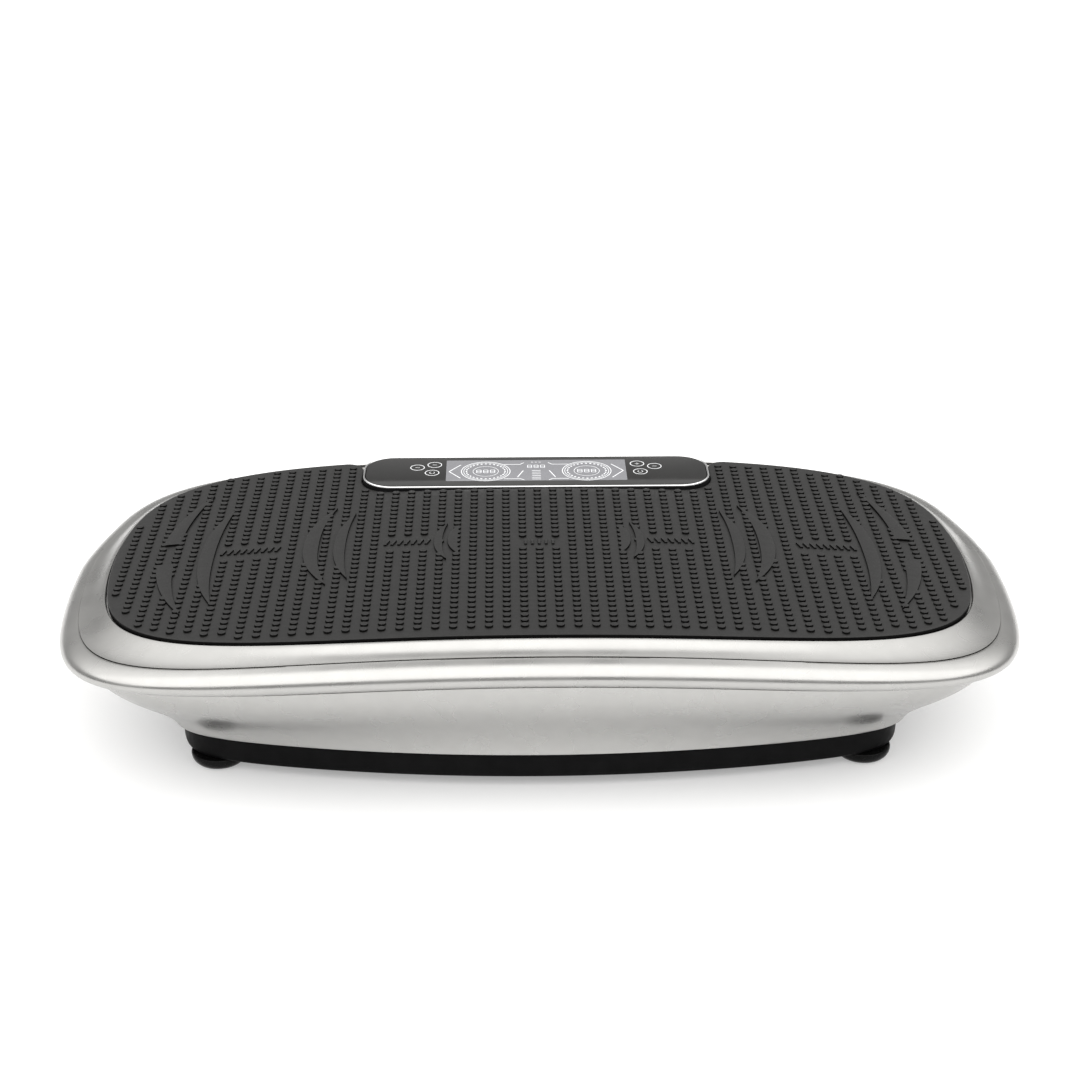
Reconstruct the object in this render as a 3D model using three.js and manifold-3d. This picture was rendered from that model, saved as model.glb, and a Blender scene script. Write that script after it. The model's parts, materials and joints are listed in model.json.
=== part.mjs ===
// Slim vibration plate: a rocking upper body on a base pan with suction feet, and the crank drive inside.
// Millimetres, +Z up, +Y towards the console at the rear. The origin is on the floor under the centre.
import * as THREE from 'three';
import { mergeVertices } from 'three/addons/utils/BufferGeometryUtils.js';
import Module from 'manifold-3d';

const wasm = await Module();
wasm.setup();

// ---- driving dimensions ----
const DECK_TOP = 121;          // top of the mat over the centre line
const CROWN_RADIUS = 2900;     // the deck falls away to both ends on this radius
const WALL = 2.8;              // plastic mouldings
const GAP = 0.3;               // between pieces that touch
const MAT_THICKNESS = 4.5;
const GLUE = 0.8;              // layer that bonds the mat to the panel
const FOOT_HEIGHT = 9;
const PAN_FLOOR = 3;
const STEEL = 3;
const PIVOT_Z = 62;
const PIVOT_Y = 90;            // centre of each pivot station, front and rear
const ROCK_DEG = 1;            // half of the rocking angle
const AXLE_Z = 52;             // crank and motor axes
const CRANK_X = -110;
const MOTOR_X = 120;
const THROW = Math.abs(CRANK_X) * Math.tan(THREE.MathUtils.degToRad(ROCK_DEG));
const BELT_Y = -55;
const PLATE_TOP = 105;         // flat steel plate under the crowned panel
const CONSOLE = { halfWidth: 132, front: 97.5, rear: 156, top: 121.8, corner: 22 };
const TUCK = 0.022;            // share of the width that the rear corners of the body lose
const TUCK_REACH = { from: 20, to: 110 };
const LIP_RISE = 2.8;          // how far the rim's lip stands above the panel
const INLET_TILT = 20;         // slope of the skirt at the rear, degrees
const ROUND = 16;              // sides of a round piece
const LOFT_SIDES = 48;

const SEAT_Z = DECK_TOP - MAT_THICKNESS;
const PANEL_Z = SEAT_Z - GLUE;
const PLATE_UNDER = PLATE_TOP - STEEL;
const FRAME_BOTTOM = FOOT_HEIGHT + PAN_FLOOR + GAP;
const FRAME_TOP = FRAME_BOTTOM + STEEL;
const MOUNT_Z = FRAME_TOP + GAP;   // where the brackets stand

// Flanges of the pieces that are bolted to the base frame, and where their bolts are.
const BRACKET_FOOT = { thick: 4, bolt: 24 };
const BLOCK_FOOT = { thick: 6, bolt: 30, y: 30 };
const MOTOR_FOOT = { thick: STEEL, bolt: 29, y: -18 };
const BOLT_RADIUS = 3;
const SCREW = { radius: 2, x: [-160, -60, 60, 160], y: 98 };

// ---- the body's lines: each one is a closed line round the plan, at a height ----
// square: how square the corners are. sideBow, frontBow: how far the ends and the front bulge.
// crown: the share of the deck's crown that the line follows.
// centre: the y it is centred on. tuck: the share of its width that its rear corners lose.
function planLine(halfWidth, halfDepth, z, square, sideBow, frontBow, crown = 1, centre = 0, tuck = 0) {
  return { halfWidth, halfDepth, z, square, sideBow, frontBow, crown, centre, tuck };
}

const MAT_EDGE = planLine(307, 152.5, DECK_TOP, 5.2, 0.1, 0, 1, 3.5);
const SEAM_UPPER = planLine(325, 165.5, 112.8, 5.7, 0.085, -0.03, 1, 0, TUCK);
const BAND_TOP = planLine(340, 182, 110.3, 5.7, 0.07, -0.01, 1, 0, TUCK);
const BAND_LOW = planLine(343, 184.5, 98, 5.7, 0.07, 0, 1, 0, TUCK);
const SEAM_LOWER = planLine(325, 175, 95.4, 5.2, 0.09, 0, 1, 0, TUCK);
const SHOULDER = planLine(322, 172, 66, 4.6, 0.07, 0.04, 0.8);
const WAIST = planLine(278, 152, 57, 6.5, 0.05, 0.16, 0.5);
const HEM = planLine(266, 151, 30.5, 14, 0.06, 0.21, 0);
const PAN_RIM = planLine(259, 145, 42, 14, 0.055, 0.21, 0);

function pointOnLine(line, angle) {
  const c = Math.cos(angle);
  const s = Math.sin(angle);
  const reach = (Math.abs(c) ** line.square + Math.abs(s) ** line.square) ** (-1 / line.square);
  const u = reach * c;
  const v = reach * s;
  const y = line.centre + line.halfDepth * v * (1 - line.frontBow * u * u);
  const tucked = 1 - line.tuck * THREE.MathUtils.smoothstep(y, TUCK_REACH.from, TUCK_REACH.to);
  const x = line.halfWidth * u * (1 - line.sideBow * v * v) * tucked;
  return [x, y, line.z - line.crown * crownDrop(x)];
}

function crownDrop(x) {
  return (x * x) / (2 * CROWN_RADIUS);
}

function mixLines(a, b, t) {
  const mixed = {};
  for (const key of Object.keys(a)) mixed[key] = a[key] + (b[key] - a[key]) * t;
  return mixed;
}

// A Bezier curve whose control points are whole lines.
function blendLines(controls, steps) {
  return Array.from({ length: steps + 1 }, (_, i) => {
    let level = controls;
    while (level.length > 1) level = level.slice(1).map((next, k) => mixLines(level[k], next, i / steps));
    return level[0];
  });
}

function inset(line, amount, z = line.z) {
  return { ...line, halfWidth: line.halfWidth - amount, halfDepth: line.halfDepth - amount, z };
}

function scaled(line, factor, z = line.z) {
  return { ...line, halfWidth: line.halfWidth * factor, halfDepth: line.halfDepth * factor, z };
}

// A body lofted through lines. The list closes on itself, or starts and ends on the axis with factor 0 lines.
function loft(lines, sides = LOFT_SIDES) {
  const profile = lines.map((line) => new THREE.Vector2(line.halfDepth, line.z));
  const geometry = new THREE.LatheGeometry(profile, sides);
  const position = geometry.attributes.position;
  for (let i = 0; i < position.count; i++) {
    const line = lines[i % lines.length];
    const angle = (2 * Math.PI * Math.floor(i / lines.length)) / sides;
    position.setXYZ(i, ...pointOnLine(line, angle));
  }
  return solid(geometry);
}

function ringLoft(lines, sides) {
  return loft([...lines, lines[0]], sides);
}

// ---- solids ----
function signedVolume(geometry) {
  const p = geometry.attributes.position;
  const index = geometry.index.array;
  const [a, b, c] = [new THREE.Vector3(), new THREE.Vector3(), new THREE.Vector3()];
  let sum = 0;
  for (let i = 0; i < index.length; i += 3) {
    a.fromBufferAttribute(p, index[i]);
    b.fromBufferAttribute(p, index[i + 1]);
    c.fromBufferAttribute(p, index[i + 2]);
    sum += a.dot(b.cross(c));
  }
  return sum / 6;
}

function solid(source) {
  source.deleteAttribute('normal');
  source.deleteAttribute('uv');
  const geometry = mergeVertices(source, 1e-4);
  const triVerts = new Uint32Array(geometry.index.array);
  if (signedVolume(geometry) < 0) {
    for (let i = 0; i < triVerts.length; i += 3) {
      [triVerts[i], triVerts[i + 1]] = [triVerts[i + 1], triVerts[i]];
    }
  }
  const vertProperties = new Float32Array(geometry.attributes.position.array);
  return new wasm.Manifold(new wasm.Mesh({ numProp: 3, vertProperties, triVerts }));
}

function toGeometry(body) {
  const mesh = body.getMesh();
  const geometry = new THREE.BufferGeometry();
  geometry.setAttribute('position', new THREE.BufferAttribute(mesh.vertProperties, 3));
  geometry.setIndex(new THREE.BufferAttribute(mesh.triVerts, 1));
  geometry.computeVertexNormals();
  return geometry;
}

// A box from its middle in X, its middle in Y and its span in Z.
function block(x, y, [low, high], width, depth) {
  const geometry = new THREE.BoxGeometry(width, depth, high - low);
  return solid(geometry.translate(x, y, (low + high) / 2));
}

function post(x, y, [low, high], radius, sides = ROUND) {
  const geometry = new THREE.CylinderGeometry(radius, radius, high - low, sides).rotateX(Math.PI / 2);
  return solid(geometry.translate(x, y, (low + high) / 2));
}

// A round bar along Y, from one Y to another.
function bar(x, z, [from, to], radius, sides = ROUND) {
  const geometry = new THREE.CylinderGeometry(radius, radius, to - from, sides);
  return solid(geometry.translate(x, (from + to) / 2, z));
}

function ring(x, z, span, outer, bore, sides = ROUND) {
  const [from, to] = span;
  return bar(x, z, span, outer, sides).subtract(bar(x, z, [from - 1, to + 1], bore, sides));
}

// A plate cut from a shape drawn in plan, from one height to another.
function plate(shape, [low, high], curveSegments = 4) {
  const settings = { depth: high - low, bevelEnabled: false, curveSegments };
  return solid(new THREE.ExtrudeGeometry(shape, settings).translate(0, 0, low));
}

// A piece cut from a shape drawn in X and Z, from one Y to another.
function profileAlongY(shape, [from, to], curveSegments = 8) {
  const settings = { depth: to - from, bevelEnabled: false, curveSegments };
  return solid(new THREE.ExtrudeGeometry(shape, settings).rotateX(Math.PI / 2).translate(0, to, 0));
}

function tube(points, radius, steps = 16, sides = 8) {
  const round = new THREE.EllipseCurve(0, 0, radius, radius).getPoints(sides);
  const circle = new THREE.Shape(round.slice(0, sides));
  const extrudePath = new THREE.CatmullRomCurve3(points.map((p) => new THREE.Vector3(...p)));
  return solid(new THREE.ExtrudeGeometry(circle, { steps, extrudePath, bevelEnabled: false }));
}

function roundedRectangle(left, front, right, rear, radius) {
  const shape = new THREE.Shape();
  shape.absarc(right - radius, front + radius, radius, -Math.PI / 2, 0);
  shape.absarc(right - radius, rear - radius, radius, 0, Math.PI / 2);
  shape.absarc(left + radius, rear - radius, radius, Math.PI / 2, Math.PI);
  shape.absarc(left + radius, front + radius, radius, Math.PI, 1.5 * Math.PI);
  return shape;
}

// ---- finishes ----
function finish(color, roughness, metalness = 0) {
  return new THREE.MeshStandardMaterial({ color, roughness, metalness });
}

const FINISH = {
  silver: finish('#c9c9c6', 0.3, 0.6),
  rubber: finish('#2f2d2c', 0.8),
  softRubber: finish('#141414', 0.55),
  blackPlastic: finish('#161616', 0.45),
  gloss: finish('#1d1d1f', 0.1),
  chrome: finish('#e6e6e6', 0.08, 1),
  display: finish('#9a9da3', 0.3),
  steel: finish('#9c9fa3', 0.35, 1),
  frame: finish('#2b2d30', 0.5, 0.3),
  belt: finish('#1a1a1a', 0.8),
  copper: finish('#a8683c', 0.4, 0.8),
  board: finish('#1f5a36', 0.5),
  brass: finish('#c9a24a', 0.3, 1),
  white: finish('#e4e2da', 0.5),
  red: finish('#8e1c1c', 0.4),
};

const plateModel = new THREE.Group();

function add(name, body, material, parent = plateModel) {
  const mesh = new THREE.Mesh(toGeometry(body), material);
  mesh.name = name;
  parent.add(mesh);
}

// ---- upper body ----
const TRIM = { lap: 1.6, depth: 8 };

function consoleShape(grow) {
  const { halfWidth, front, rear, corner } = CONSOLE;
  return roundedRectangle(-halfWidth - grow, front - grow, halfWidth + grow, rear + grow, corner + grow);
}

// The mat's notch: the console's outline, open to the rear, with its two outer corners rounded off.
function notchShape() {
  const gap = 2.2;
  const side = CONSOLE.halfWidth + gap;
  const front = CONSOLE.front - gap;
  const corner = CONSOLE.corner + gap;
  const flare = 14;
  const flareY = MAT_EDGE.centre + MAT_EDGE.halfDepth - flare;
  const beyond = MAT_EDGE.halfDepth + 40;
  const shape = new THREE.Shape();
  shape.moveTo(-side - flare, beyond);
  shape.absarc(-side - flare, flareY, flare, Math.PI / 2, 0, true);
  shape.absarc(-side + corner, front + corner, corner, Math.PI, 1.5 * Math.PI);
  shape.absarc(side - corner, front + corner, corner, 1.5 * Math.PI, 2 * Math.PI);
  shape.absarc(side + flare, flareY, flare, Math.PI, Math.PI / 2, true);
  shape.lineTo(side + flare, beyond);
  return shape;
}

// Rings from the centre to the mat's edge, so that crowned faces above each other stay parallel.
function crownRings(z) {
  return [0, 1 / 3, 2 / 3, 1].map((factor) => scaled(MAT_EDGE, factor, z));
}

function buildUpperBody() {
  const mat = loft([...crownRings(DECK_TOP), ...crownRings(SEAT_Z).reverse()]);
  add('foot_mat', mat.subtract(plate(notchShape(), [60, 160])), FINISH.rubber);

  const seat = inset(MAT_EDGE, -1);
  const lip = inset(MAT_EDGE, -1.8, PANEL_Z + LIP_RISE);
  const flange = { foot: SEAM_LOWER.z + GAP, outer: 4, inner: 4 + WALL };
  const crest = inset(MAT_EDGE, -4.5, PANEL_Z + LIP_RISE - 0.4);
  const valley = inset(SEAM_UPPER, 8, SEAM_UPPER.z + 0.4);
  const rim = blendLines([lip, crest, valley, SEAM_UPPER], 4);
  const rimInside = [
    inset(SEAM_UPPER, flange.outer, flange.foot),
    inset(SEAM_UPPER, flange.inner, flange.foot),
    inset(SEAM_UPPER, flange.inner, PANEL_Z - 2.5 * WALL),
  ];
  const under = crownRings(PANEL_Z - WALL).reverse();
  const shell = loft([...crownRings(PANEL_Z), { ...seat, z: PANEL_Z }, ...rim, ...rimInside, ...under]);
  let topShell = shell.subtract(plate(consoleShape(TRIM.lap + 0.4), [100, 140]));
  for (const x of [-140, -70, 0, 70, 140]) {
    const ribTop = PANEL_Z - WALL - crownDrop(x) + 1;
    topShell = topShell.add(block(x, -20, [PLATE_TOP + GAP, ribTop], 3, 190));
  }
  add('top_shell', topShell, FINISH.silver);

  const bandTop = inset(SEAM_UPPER, -0.6, SEAM_UPPER.z - 0.5);
  const bandOuter = blendLines([bandTop, BAND_TOP, BAND_LOW, SEAM_LOWER], 6);
  const bandInner = bandOuter.map((line) => inset(line, WALL)).slice(2, -1).reverse();
  const bandRoot = [inset(SEAM_LOWER, WALL), ...bandInner, inset(bandTop, 0, bandTop.z - 2 * WALL)];
  add('side_band', ringLoft([...bandOuter, ...bandRoot]), FINISH.silver);

  const skirtTop = inset(SEAM_LOWER, 0.5, SEAM_LOWER.z - GAP);
  const skirtOuter = blendLines([skirtTop, SHOULDER, WAIST, HEM], 5);
  const skirtInner = skirtOuter.slice(1).map((line) => inset(line, WALL)).reverse();
  const ledge = [inset(skirtTop, 13, skirtTop.z - WALL), inset(skirtTop, 13)];
  const skirt = ringLoft([...skirtOuter, ...skirtInner, inset(skirtTop, WALL, skirtTop.z - WALL), ...ledge]);
  const fit = 0.4;
  const opening = new THREE.BoxGeometry(INLET.width + 2 * fit, 40, INLET.height + 2 * fit);
  add('skirt_shell', skirt.subtract(solid(opening.applyMatrix4(inletMatrix()))), FINISH.silver);
}

// ---- console ----
function buildConsole() {
  const { front, rear, top, halfWidth } = CONSOLE;
  const middle = (front + rear) / 2;
  const floor = PLATE_TOP + 1.5;
  const lensBottom = top - 2.4;
  const tray = plate(consoleShape(-0.6), [floor, lensBottom - GAP]);
  const hollow = plate(consoleShape(-0.6 - WALL), [floor + WALL, top]);
  add('console_housing', tray.subtract(hollow), FINISH.blackPlastic);
  const trim = plate(consoleShape(TRIM.lap), [top - TRIM.depth, top]);
  add('console_trim', trim.subtract(plate(consoleShape(-0.4), [60, 140])), FINISH.chrome);
  add('console_lens', plate(consoleShape(-0.7), [lensBottom, top - 0.2]), FINISH.gloss);
  const display = [lensBottom - 5, lensBottom - GAP];
  add('lcd_module', block(0, middle, display, 146, 46), FINISH.display);
  const board = [display[0] - 2, display[0] - GAP];
  add('console_board', block(0, middle, board, 2 * halfWidth - 40, 50), FINISH.board);
}

// ---- deck steelwork, with the pivot hangers and the rod lug ----
const PIVOT = { bolt: 6, hex: 10.5, bush: 13, tube: 17, length: 18, ear: 4, side: 2 };
const ROD = { rise: 33, pin: 4, pinBore: 8.6, small: 12, big: 27, bearing: 21, journal: 10, thick: 12 };

function buildDeckFrame() {
  const half = { x: 205, y: 112 };
  let frame = plate(roundedRectangle(-half.x, -half.y, half.x, half.y, 30), [PLATE_UNDER, PLATE_TOP]);
  for (const side of [-1, 1]) {
    frame = frame.add(block(0, side * (half.y - 1.5), [PLATE_UNDER - 9, PLATE_TOP - 1], 340, STEEL));
    const y = side * PIVOT_Y;
    const span = [y - PIVOT.length / 2, y + PIVOT.length / 2];
    frame = frame.add(block(0, y, [PIVOT_Z + 10, PLATE_UNDER + 1], 26, PIVOT.length - 6));
    frame = frame.add(bar(0, PIVOT_Z, span, PIVOT.tube));
    frame = frame.subtract(bar(0, PIVOT_Z, [y - 20, y + 20], PIVOT.bush + GAP));
    const lugY = side * (ROD.thick / 2 + 3.5);
    const lug = block(CRANK_X, lugY, [AXLE_Z + ROD.rise - 6, PLATE_UNDER + 1], 28, 4);
    frame = frame.add(lug);
  }
  frame = frame.subtract(bar(CRANK_X, AXLE_Z + ROD.rise, [-20, 20], ROD.pin + GAP, 12));
  add('deck_frame', frame, FINISH.frame);
  const pin = bar(CRANK_X, AXLE_Z + ROD.rise, [-15, 14], ROD.pin, 12);
  add('rod_pin', pin.add(bar(CRANK_X, AXLE_Z + ROD.rise, [-19, -14.5], 7, 12)), FINISH.steel);
}

// ---- base ----
const STOP = { x: 190, y: 82, post: 9, radius: 15, top: 98, postTop: 78 };
const FOOT = { x: 224.5, y: 99, radius: 19.5, stud: 3 };
const CORNERS = [['front_left', -1, -1], ['front_right', 1, -1], ['rear_left', -1, 1], ['rear_right', 1, 1]];

function buildBase() {
  const under = inset(PAN_RIM, 2.5, FOOT_HEIGHT);
  const corner = inset(PAN_RIM, 0.8, FOOT_HEIGHT + 3);
  const floorEdge = inset(PAN_RIM, 0.8 + WALL, FOOT_HEIGHT + PAN_FLOOR);
  const outside = [scaled(under, 0), under, corner, PAN_RIM];
  const inside = [inset(PAN_RIM, WALL), floorEdge, scaled(floorEdge, 0)];
  let pan = loft([...outside, ...inside]);
  for (const [, sx, sy] of CORNERS) {
    pan = pan.subtract(post(sx * FOOT.x, sy * FOOT.y, [0, 40], FOOT.stud + GAP, 12));
  }
  add('base_pan', drilled(pan, screwPlaces(), SCREW.radius), FINISH.blackPlastic);

  let frame = plate(roundedRectangle(-214, -112, 214, 112, 42), [FRAME_BOTTOM, FRAME_TOP]);
  for (const [, sx, sy] of CORNERS) {
    frame = frame.add(post(sx * STOP.x, sy * STOP.y, [FRAME_BOTTOM, STOP.postTop], STOP.post, 12));
  }
  frame = drilled(frame, screwPlaces(), SCREW.radius);
  add('base_frame', drilled(frame, boltPlaces(), BOLT_RADIUS), FINISH.frame);
  for (const [name, sx, sy] of CORNERS) {
    const stop = post(sx * STOP.x, sy * STOP.y, [STOP.postTop + GAP, STOP.top], STOP.radius);
    add(`bump_stop_${name}`, stop, FINISH.softRubber);
    add(`foot_${name}`, suctionFoot(sx * FOOT.x, sy * FOOT.y), FINISH.softRubber);
  }
}

// A domed rubber foot with a hollow sucker underneath and a bonded stud.
function suctionFoot(x, y) {
  const { radius, stud } = FOOT;
  const neckTop = FOOT_HEIGHT - GAP;
  const sucker = [[0, 3], [radius - 9.5, 1.6], [radius - 8, 0], [radius - 5, 0]];
  const dome = [[radius - 1.5, 2.8], [radius, 6.5], [radius - 0.6, neckTop]];
  const bondedStud = [[stud, neckTop], [stud, neckTop + 8], [0, neckTop + 8]];
  const profile = [...sucker, ...dome, ...bondedStud].map(([r, z]) => new THREE.Vector2(r, z));
  return solid(new THREE.LatheGeometry(profile, ROUND).rotateX(Math.PI / 2).translate(x, y, 0));
}

// ---- fastener holes ----
function screwPlaces() {
  return SCREW.x.flatMap((x) => [-SCREW.y, SCREW.y].map((y) => [x, y]));
}

function boltPlaces() {
  const places = [];
  for (const side of [-1, 1]) {
    for (const end of [-1, 1]) {
      places.push([side * BRACKET_FOOT.bolt, end * PIVOT_Y]);
      places.push([CRANK_X + side * BLOCK_FOOT.bolt, end * BLOCK_FOOT.y]);
    }
    places.push([MOTOR_X + side * MOTOR_FOOT.bolt, MOTOR_FOOT.y]);
  }
  return places;
}

function drilled(body, places, radius) {
  const span = [FOOT_HEIGHT - 1, MOUNT_Z + BLOCK_FOOT.thick + 1];
  return places.reduce((rest, [x, y]) => rest.subtract(post(x, y, span, radius + GAP, 12)), body);
}

// ---- pivots ----
function buildPivots() {
  const ends = [['front', -1], ['rear', 1]];
  for (const [name, side] of ends) {
    const y = side * PIVOT_Y;
    const earInner = PIVOT.length / 2 + PIVOT.side;
    const earOuter = earInner + PIVOT.ear;
    let bracket = block(0, y, [MOUNT_Z, MOUNT_Z + BRACKET_FOOT.thick], 64, 2 * earOuter + 6);
    for (const ear of [-1, 1]) {
      const span = [earInner, earOuter].map((d) => y + ear * d).sort((a, b) => a - b);
      bracket = bracket.add(block(0, (span[0] + span[1]) / 2, [MOUNT_Z, PIVOT_Z], 32, PIVOT.ear));
      bracket = bracket.add(bar(0, PIVOT_Z, span, 16));
    }
    bracket = bracket.subtract(bar(0, PIVOT_Z, [y - 30, y + 30], PIVOT.bolt + GAP));
    add(`pivot_bracket_${name}`, drilled(bracket, boltPlaces(), BOLT_RADIUS), FINISH.frame);
    const bushSpan = [y - PIVOT.length / 2 + GAP, y + PIVOT.length / 2 - GAP];
    add(`pivot_bush_${name}`, ring(0, PIVOT_Z, bushSpan, PIVOT.bush, PIVOT.bolt + GAP), FINISH.softRubber);
    const shank = [y - side * (earOuter + 8), y + side * (earOuter + 1)].sort((a, b) => a - b);
    const head = [y + side * (earOuter + GAP), y + side * (earOuter + 7)].sort((a, b) => a - b);
    const nutSpan = [y - side * (earOuter + 6.5), y - side * (earOuter + GAP)].sort((a, b) => a - b);
    const bolt = bar(0, PIVOT_Z, shank, PIVOT.bolt).add(bar(0, PIVOT_Z, head, PIVOT.hex, 6));
    add(`pivot_bolt_${name}`, bolt, FINISH.steel);
    const thread = bar(0, PIVOT_Z, [y - 30, y + 30], PIVOT.bolt + GAP);
    add(`pivot_nut_${name}`, bar(0, PIVOT_Z, nutSpan, PIVOT.hex, 6).subtract(thread), FINISH.steel);
  }
}

// ---- motor ----
const MOTOR = { radius: 31, front: -34, rear: 50, shaft: 6 };
const PULLEY = { crank: 27.5, motor: 11, flange: 2.5, width: 14, belt: 2.2 };

function lathePiece(outline, x, z, sides = ROUND) {
  const profile = outline.map(([r, y]) => new THREE.Vector2(r, y));
  return solid(new THREE.LatheGeometry(profile, sides).translate(x, 0, z));
}

function buildMotor() {
  const { radius, front, rear, shaft } = MOTOR;
  const inner = radius - 3.5;
  const bore = shaft + GAP;
  const canOutside = [[bore, front], [radius, front], [radius, rear]];
  const canInside = [[inner, rear], [inner, front + 3], [bore, front + 3], [bore, front]];
  add('motor_can', lathePiece([...canOutside, ...canInside], MOTOR_X, AXLE_Z), FINISH.frame);
  const capEnd = rear + 6;
  add('motor_end_cap', ring(MOTOR_X, AXLE_Z, [rear + GAP, capEnd], radius, bore), FINISH.steel);
  const shaftEnd = { front: -66, rear: 74 };
  const core = { radius: 23, front: -22, rear: 34 };
  const commutator = { radius: 12, rear: 44 };
  const armature = [[0, shaftEnd.front], [shaft, shaftEnd.front], [shaft, core.front],
    [core.radius, core.front], [core.radius, core.rear], [commutator.radius, core.rear],
    [commutator.radius, commutator.rear], [shaft, commutator.rear],
    [shaft, shaftEnd.rear], [0, shaftEnd.rear]];
  add('motor_armature', lathePiece(armature, MOTOR_X, AXLE_Z), FINISH.copper);
  add('cooling_fan', buildFan(capEnd + 3), FINISH.blackPlastic);
  const face = [front - 4 - GAP, front - GAP];
  const bracket = block(MOTOR_X, (face[0] + face[1]) / 2, [MOUNT_Z, AXLE_Z + radius], 70, 4)
    .add(block(MOTOR_X, MOTOR_FOOT.y, [MOUNT_Z, MOUNT_Z + MOTOR_FOOT.thick], 70, 40.6))
    .subtract(bar(MOTOR_X, AXLE_Z, [front - 20, front + 1], 12, 16));
  add('motor_bracket', drilled(bracket, boltPlaces(), BOLT_RADIUS), FINISH.frame);
}

function buildFan(start) {
  const bladeCount = 7;
  const hub = 10;
  const reach = 26;
  const span = [start, start + 10];
  let fan = ring(MOTOR_X, AXLE_Z, span, hub, MOTOR.shaft + GAP, 16);
  for (let i = 0; i < bladeCount; i++) {
    const blade = new THREE.BoxGeometry(reach - hub + 2, 10, 1.6);
    blade.rotateX(0.6).translate((reach + hub - 2) / 2, 0, 0).rotateY((2 * Math.PI * i) / bladeCount);
    fan = fan.add(solid(blade.translate(MOTOR_X, start + 5, AXLE_Z)));
  }
  return fan;
}

// ---- belt drive, crank and rod ----
function pulley(x, bed, bore) {
  const half = PULLEY.width / 2;
  const flange = bed + PULLEY.flange;
  const outline = [[bore, -half], [flange, -half], [flange, 1.5 - half], [bed, 1.5 - half], [bed, half - 1.5],
    [flange, half - 1.5], [flange, half], [bore, half], [bore, -half]];
  return lathePiece(outline.map(([r, y]) => [r, y + BELT_Y]), x, AXLE_Z);
}

// The belt's path round both pulleys, at a distance from their beds.
function beltPath(offset) {
  const big = PULLEY.crank + offset;
  const small = PULLEY.motor + offset;
  const lean = Math.asin((big - small) / (MOTOR_X - CRANK_X));
  const quarter = Math.PI / 2;
  const shape = new THREE.Shape();
  shape.absarc(CRANK_X, AXLE_Z, big, quarter - lean, 3 * quarter + lean);
  shape.absarc(MOTOR_X, AXLE_Z, small, lean - quarter, quarter - lean);
  return shape;
}

function buildDrive() {
  const bore = MOTOR.shaft + GAP;
  add('motor_pulley', pulley(MOTOR_X, PULLEY.motor, bore), FINISH.steel);
  const shaftRadius = 7.5;
  add('crank_pulley', pulley(CRANK_X, PULLEY.crank, shaftRadius + GAP), FINISH.steel);
  const beltShape = beltPath(PULLEY.belt + GAP);
  beltShape.holes.push(beltPath(GAP));
  const beltSpan = [BELT_Y - 5, BELT_Y + 5];
  add('drive_belt', profileAlongY(beltShape, beltSpan, 10), FINISH.belt);

  const journalX = CRANK_X + THROW;
  const web = 8.5;
  const shaft = bar(CRANK_X, AXLE_Z, [BELT_Y - 10, 38], shaftRadius)
    .add(bar(journalX, AXLE_Z, [-web, web], ROD.journal));
  add('crank_shaft', shaft, FINISH.steel);
  for (const [name, y] of [['front', -BLOCK_FOOT.y], ['rear', BLOCK_FOOT.y]]) {
    const span = [y - 5.5, y + 5.5];
    const housing = 23;
    const seat = 17.5;
    const standing = block(CRANK_X, y, [MOUNT_Z, AXLE_Z], 2 * housing, 11)
      .add(block(CRANK_X, y, [MOUNT_Z, MOUNT_Z + BLOCK_FOOT.thick], 74, 18))
      .add(bar(CRANK_X, AXLE_Z, span, housing))
      .subtract(bar(CRANK_X, AXLE_Z, [y - 12, y + 12], seat + GAP));
    add(`crank_block_${name}`, drilled(standing, boltPlaces(), BOLT_RADIUS), FINISH.steel);
    add(`crank_bearing_${name}`, ring(CRANK_X, AXLE_Z, span, seat, shaftRadius + GAP), FINISH.steel);
  }
  const rodSpan = [-ROD.thick / 2, ROD.thick / 2];
  const rodTop = AXLE_Z + ROD.rise;
  const rod = bar(journalX, AXLE_Z, rodSpan, ROD.big)
    .add(bar(journalX, rodTop, rodSpan, ROD.small))
    .subtract(bar(journalX, AXLE_Z, [-20, 20], ROD.bearing + GAP))
    .subtract(bar(journalX, rodTop, [-20, 20], ROD.pinBore));
  add('connecting_rod', rod, FINISH.steel);
  add('rod_bearing', ring(journalX, AXLE_Z, rodSpan, ROD.bearing, ROD.journal + GAP), FINISH.steel);
}

// ---- electronics under the deck ----
function buildElectronics() {
  const x = 183;
  const tray = [PLATE_UNDER - 3.2, PLATE_UNDER - GAP];
  const boardTop = tray[0] - 5;
  let trayBody = block(x, 0, tray, 50, 116);
  for (const [, sx, sy] of CORNERS) {
    trayBody = trayBody.add(block(x + sx * 21, sy * 54, [boardTop + GAP, tray[0] + 1], 6, 6));
  }
  add('board_tray', trayBody, FINISH.blackPlastic);
  add('control_board', block(x, 0, [boardTop - 1.6, boardTop], 48, 114), FINISH.board);
  add('capacitor', post(x - 8, -30, [boardTop - 30, boardTop - 1.6 - GAP], 11, 16), FINISH.steel);
  const cableEnd = boardTop - 3.6;
  add('console_cable', tube([[112, 142, PLATE_TOP - 0.5], [116, 141, 97], [134, 124, 90], [158, 82, 88],
    [168, 52, cableEnd], [170, 30, cableEnd]], 1.8, 18), FINISH.blackPlastic);
}

// ---- power inlet and switch, on a panel that follows the slope of the skirt ----
const INLET = { width: 96, height: 42, y: 161.5, z: 62, thick: 5 };
const SOCKET = { x: 18, width: 32, height: 34, depth: 27 };
const ROCKER = { x: -24, width: 15, height: 21, depth: 17 };

function inletMatrix() {
  const turn = new THREE.Matrix4().makeRotationX(THREE.MathUtils.degToRad(-INLET_TILT));
  return turn.setPosition(0, INLET.y, INLET.z);
}

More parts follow.
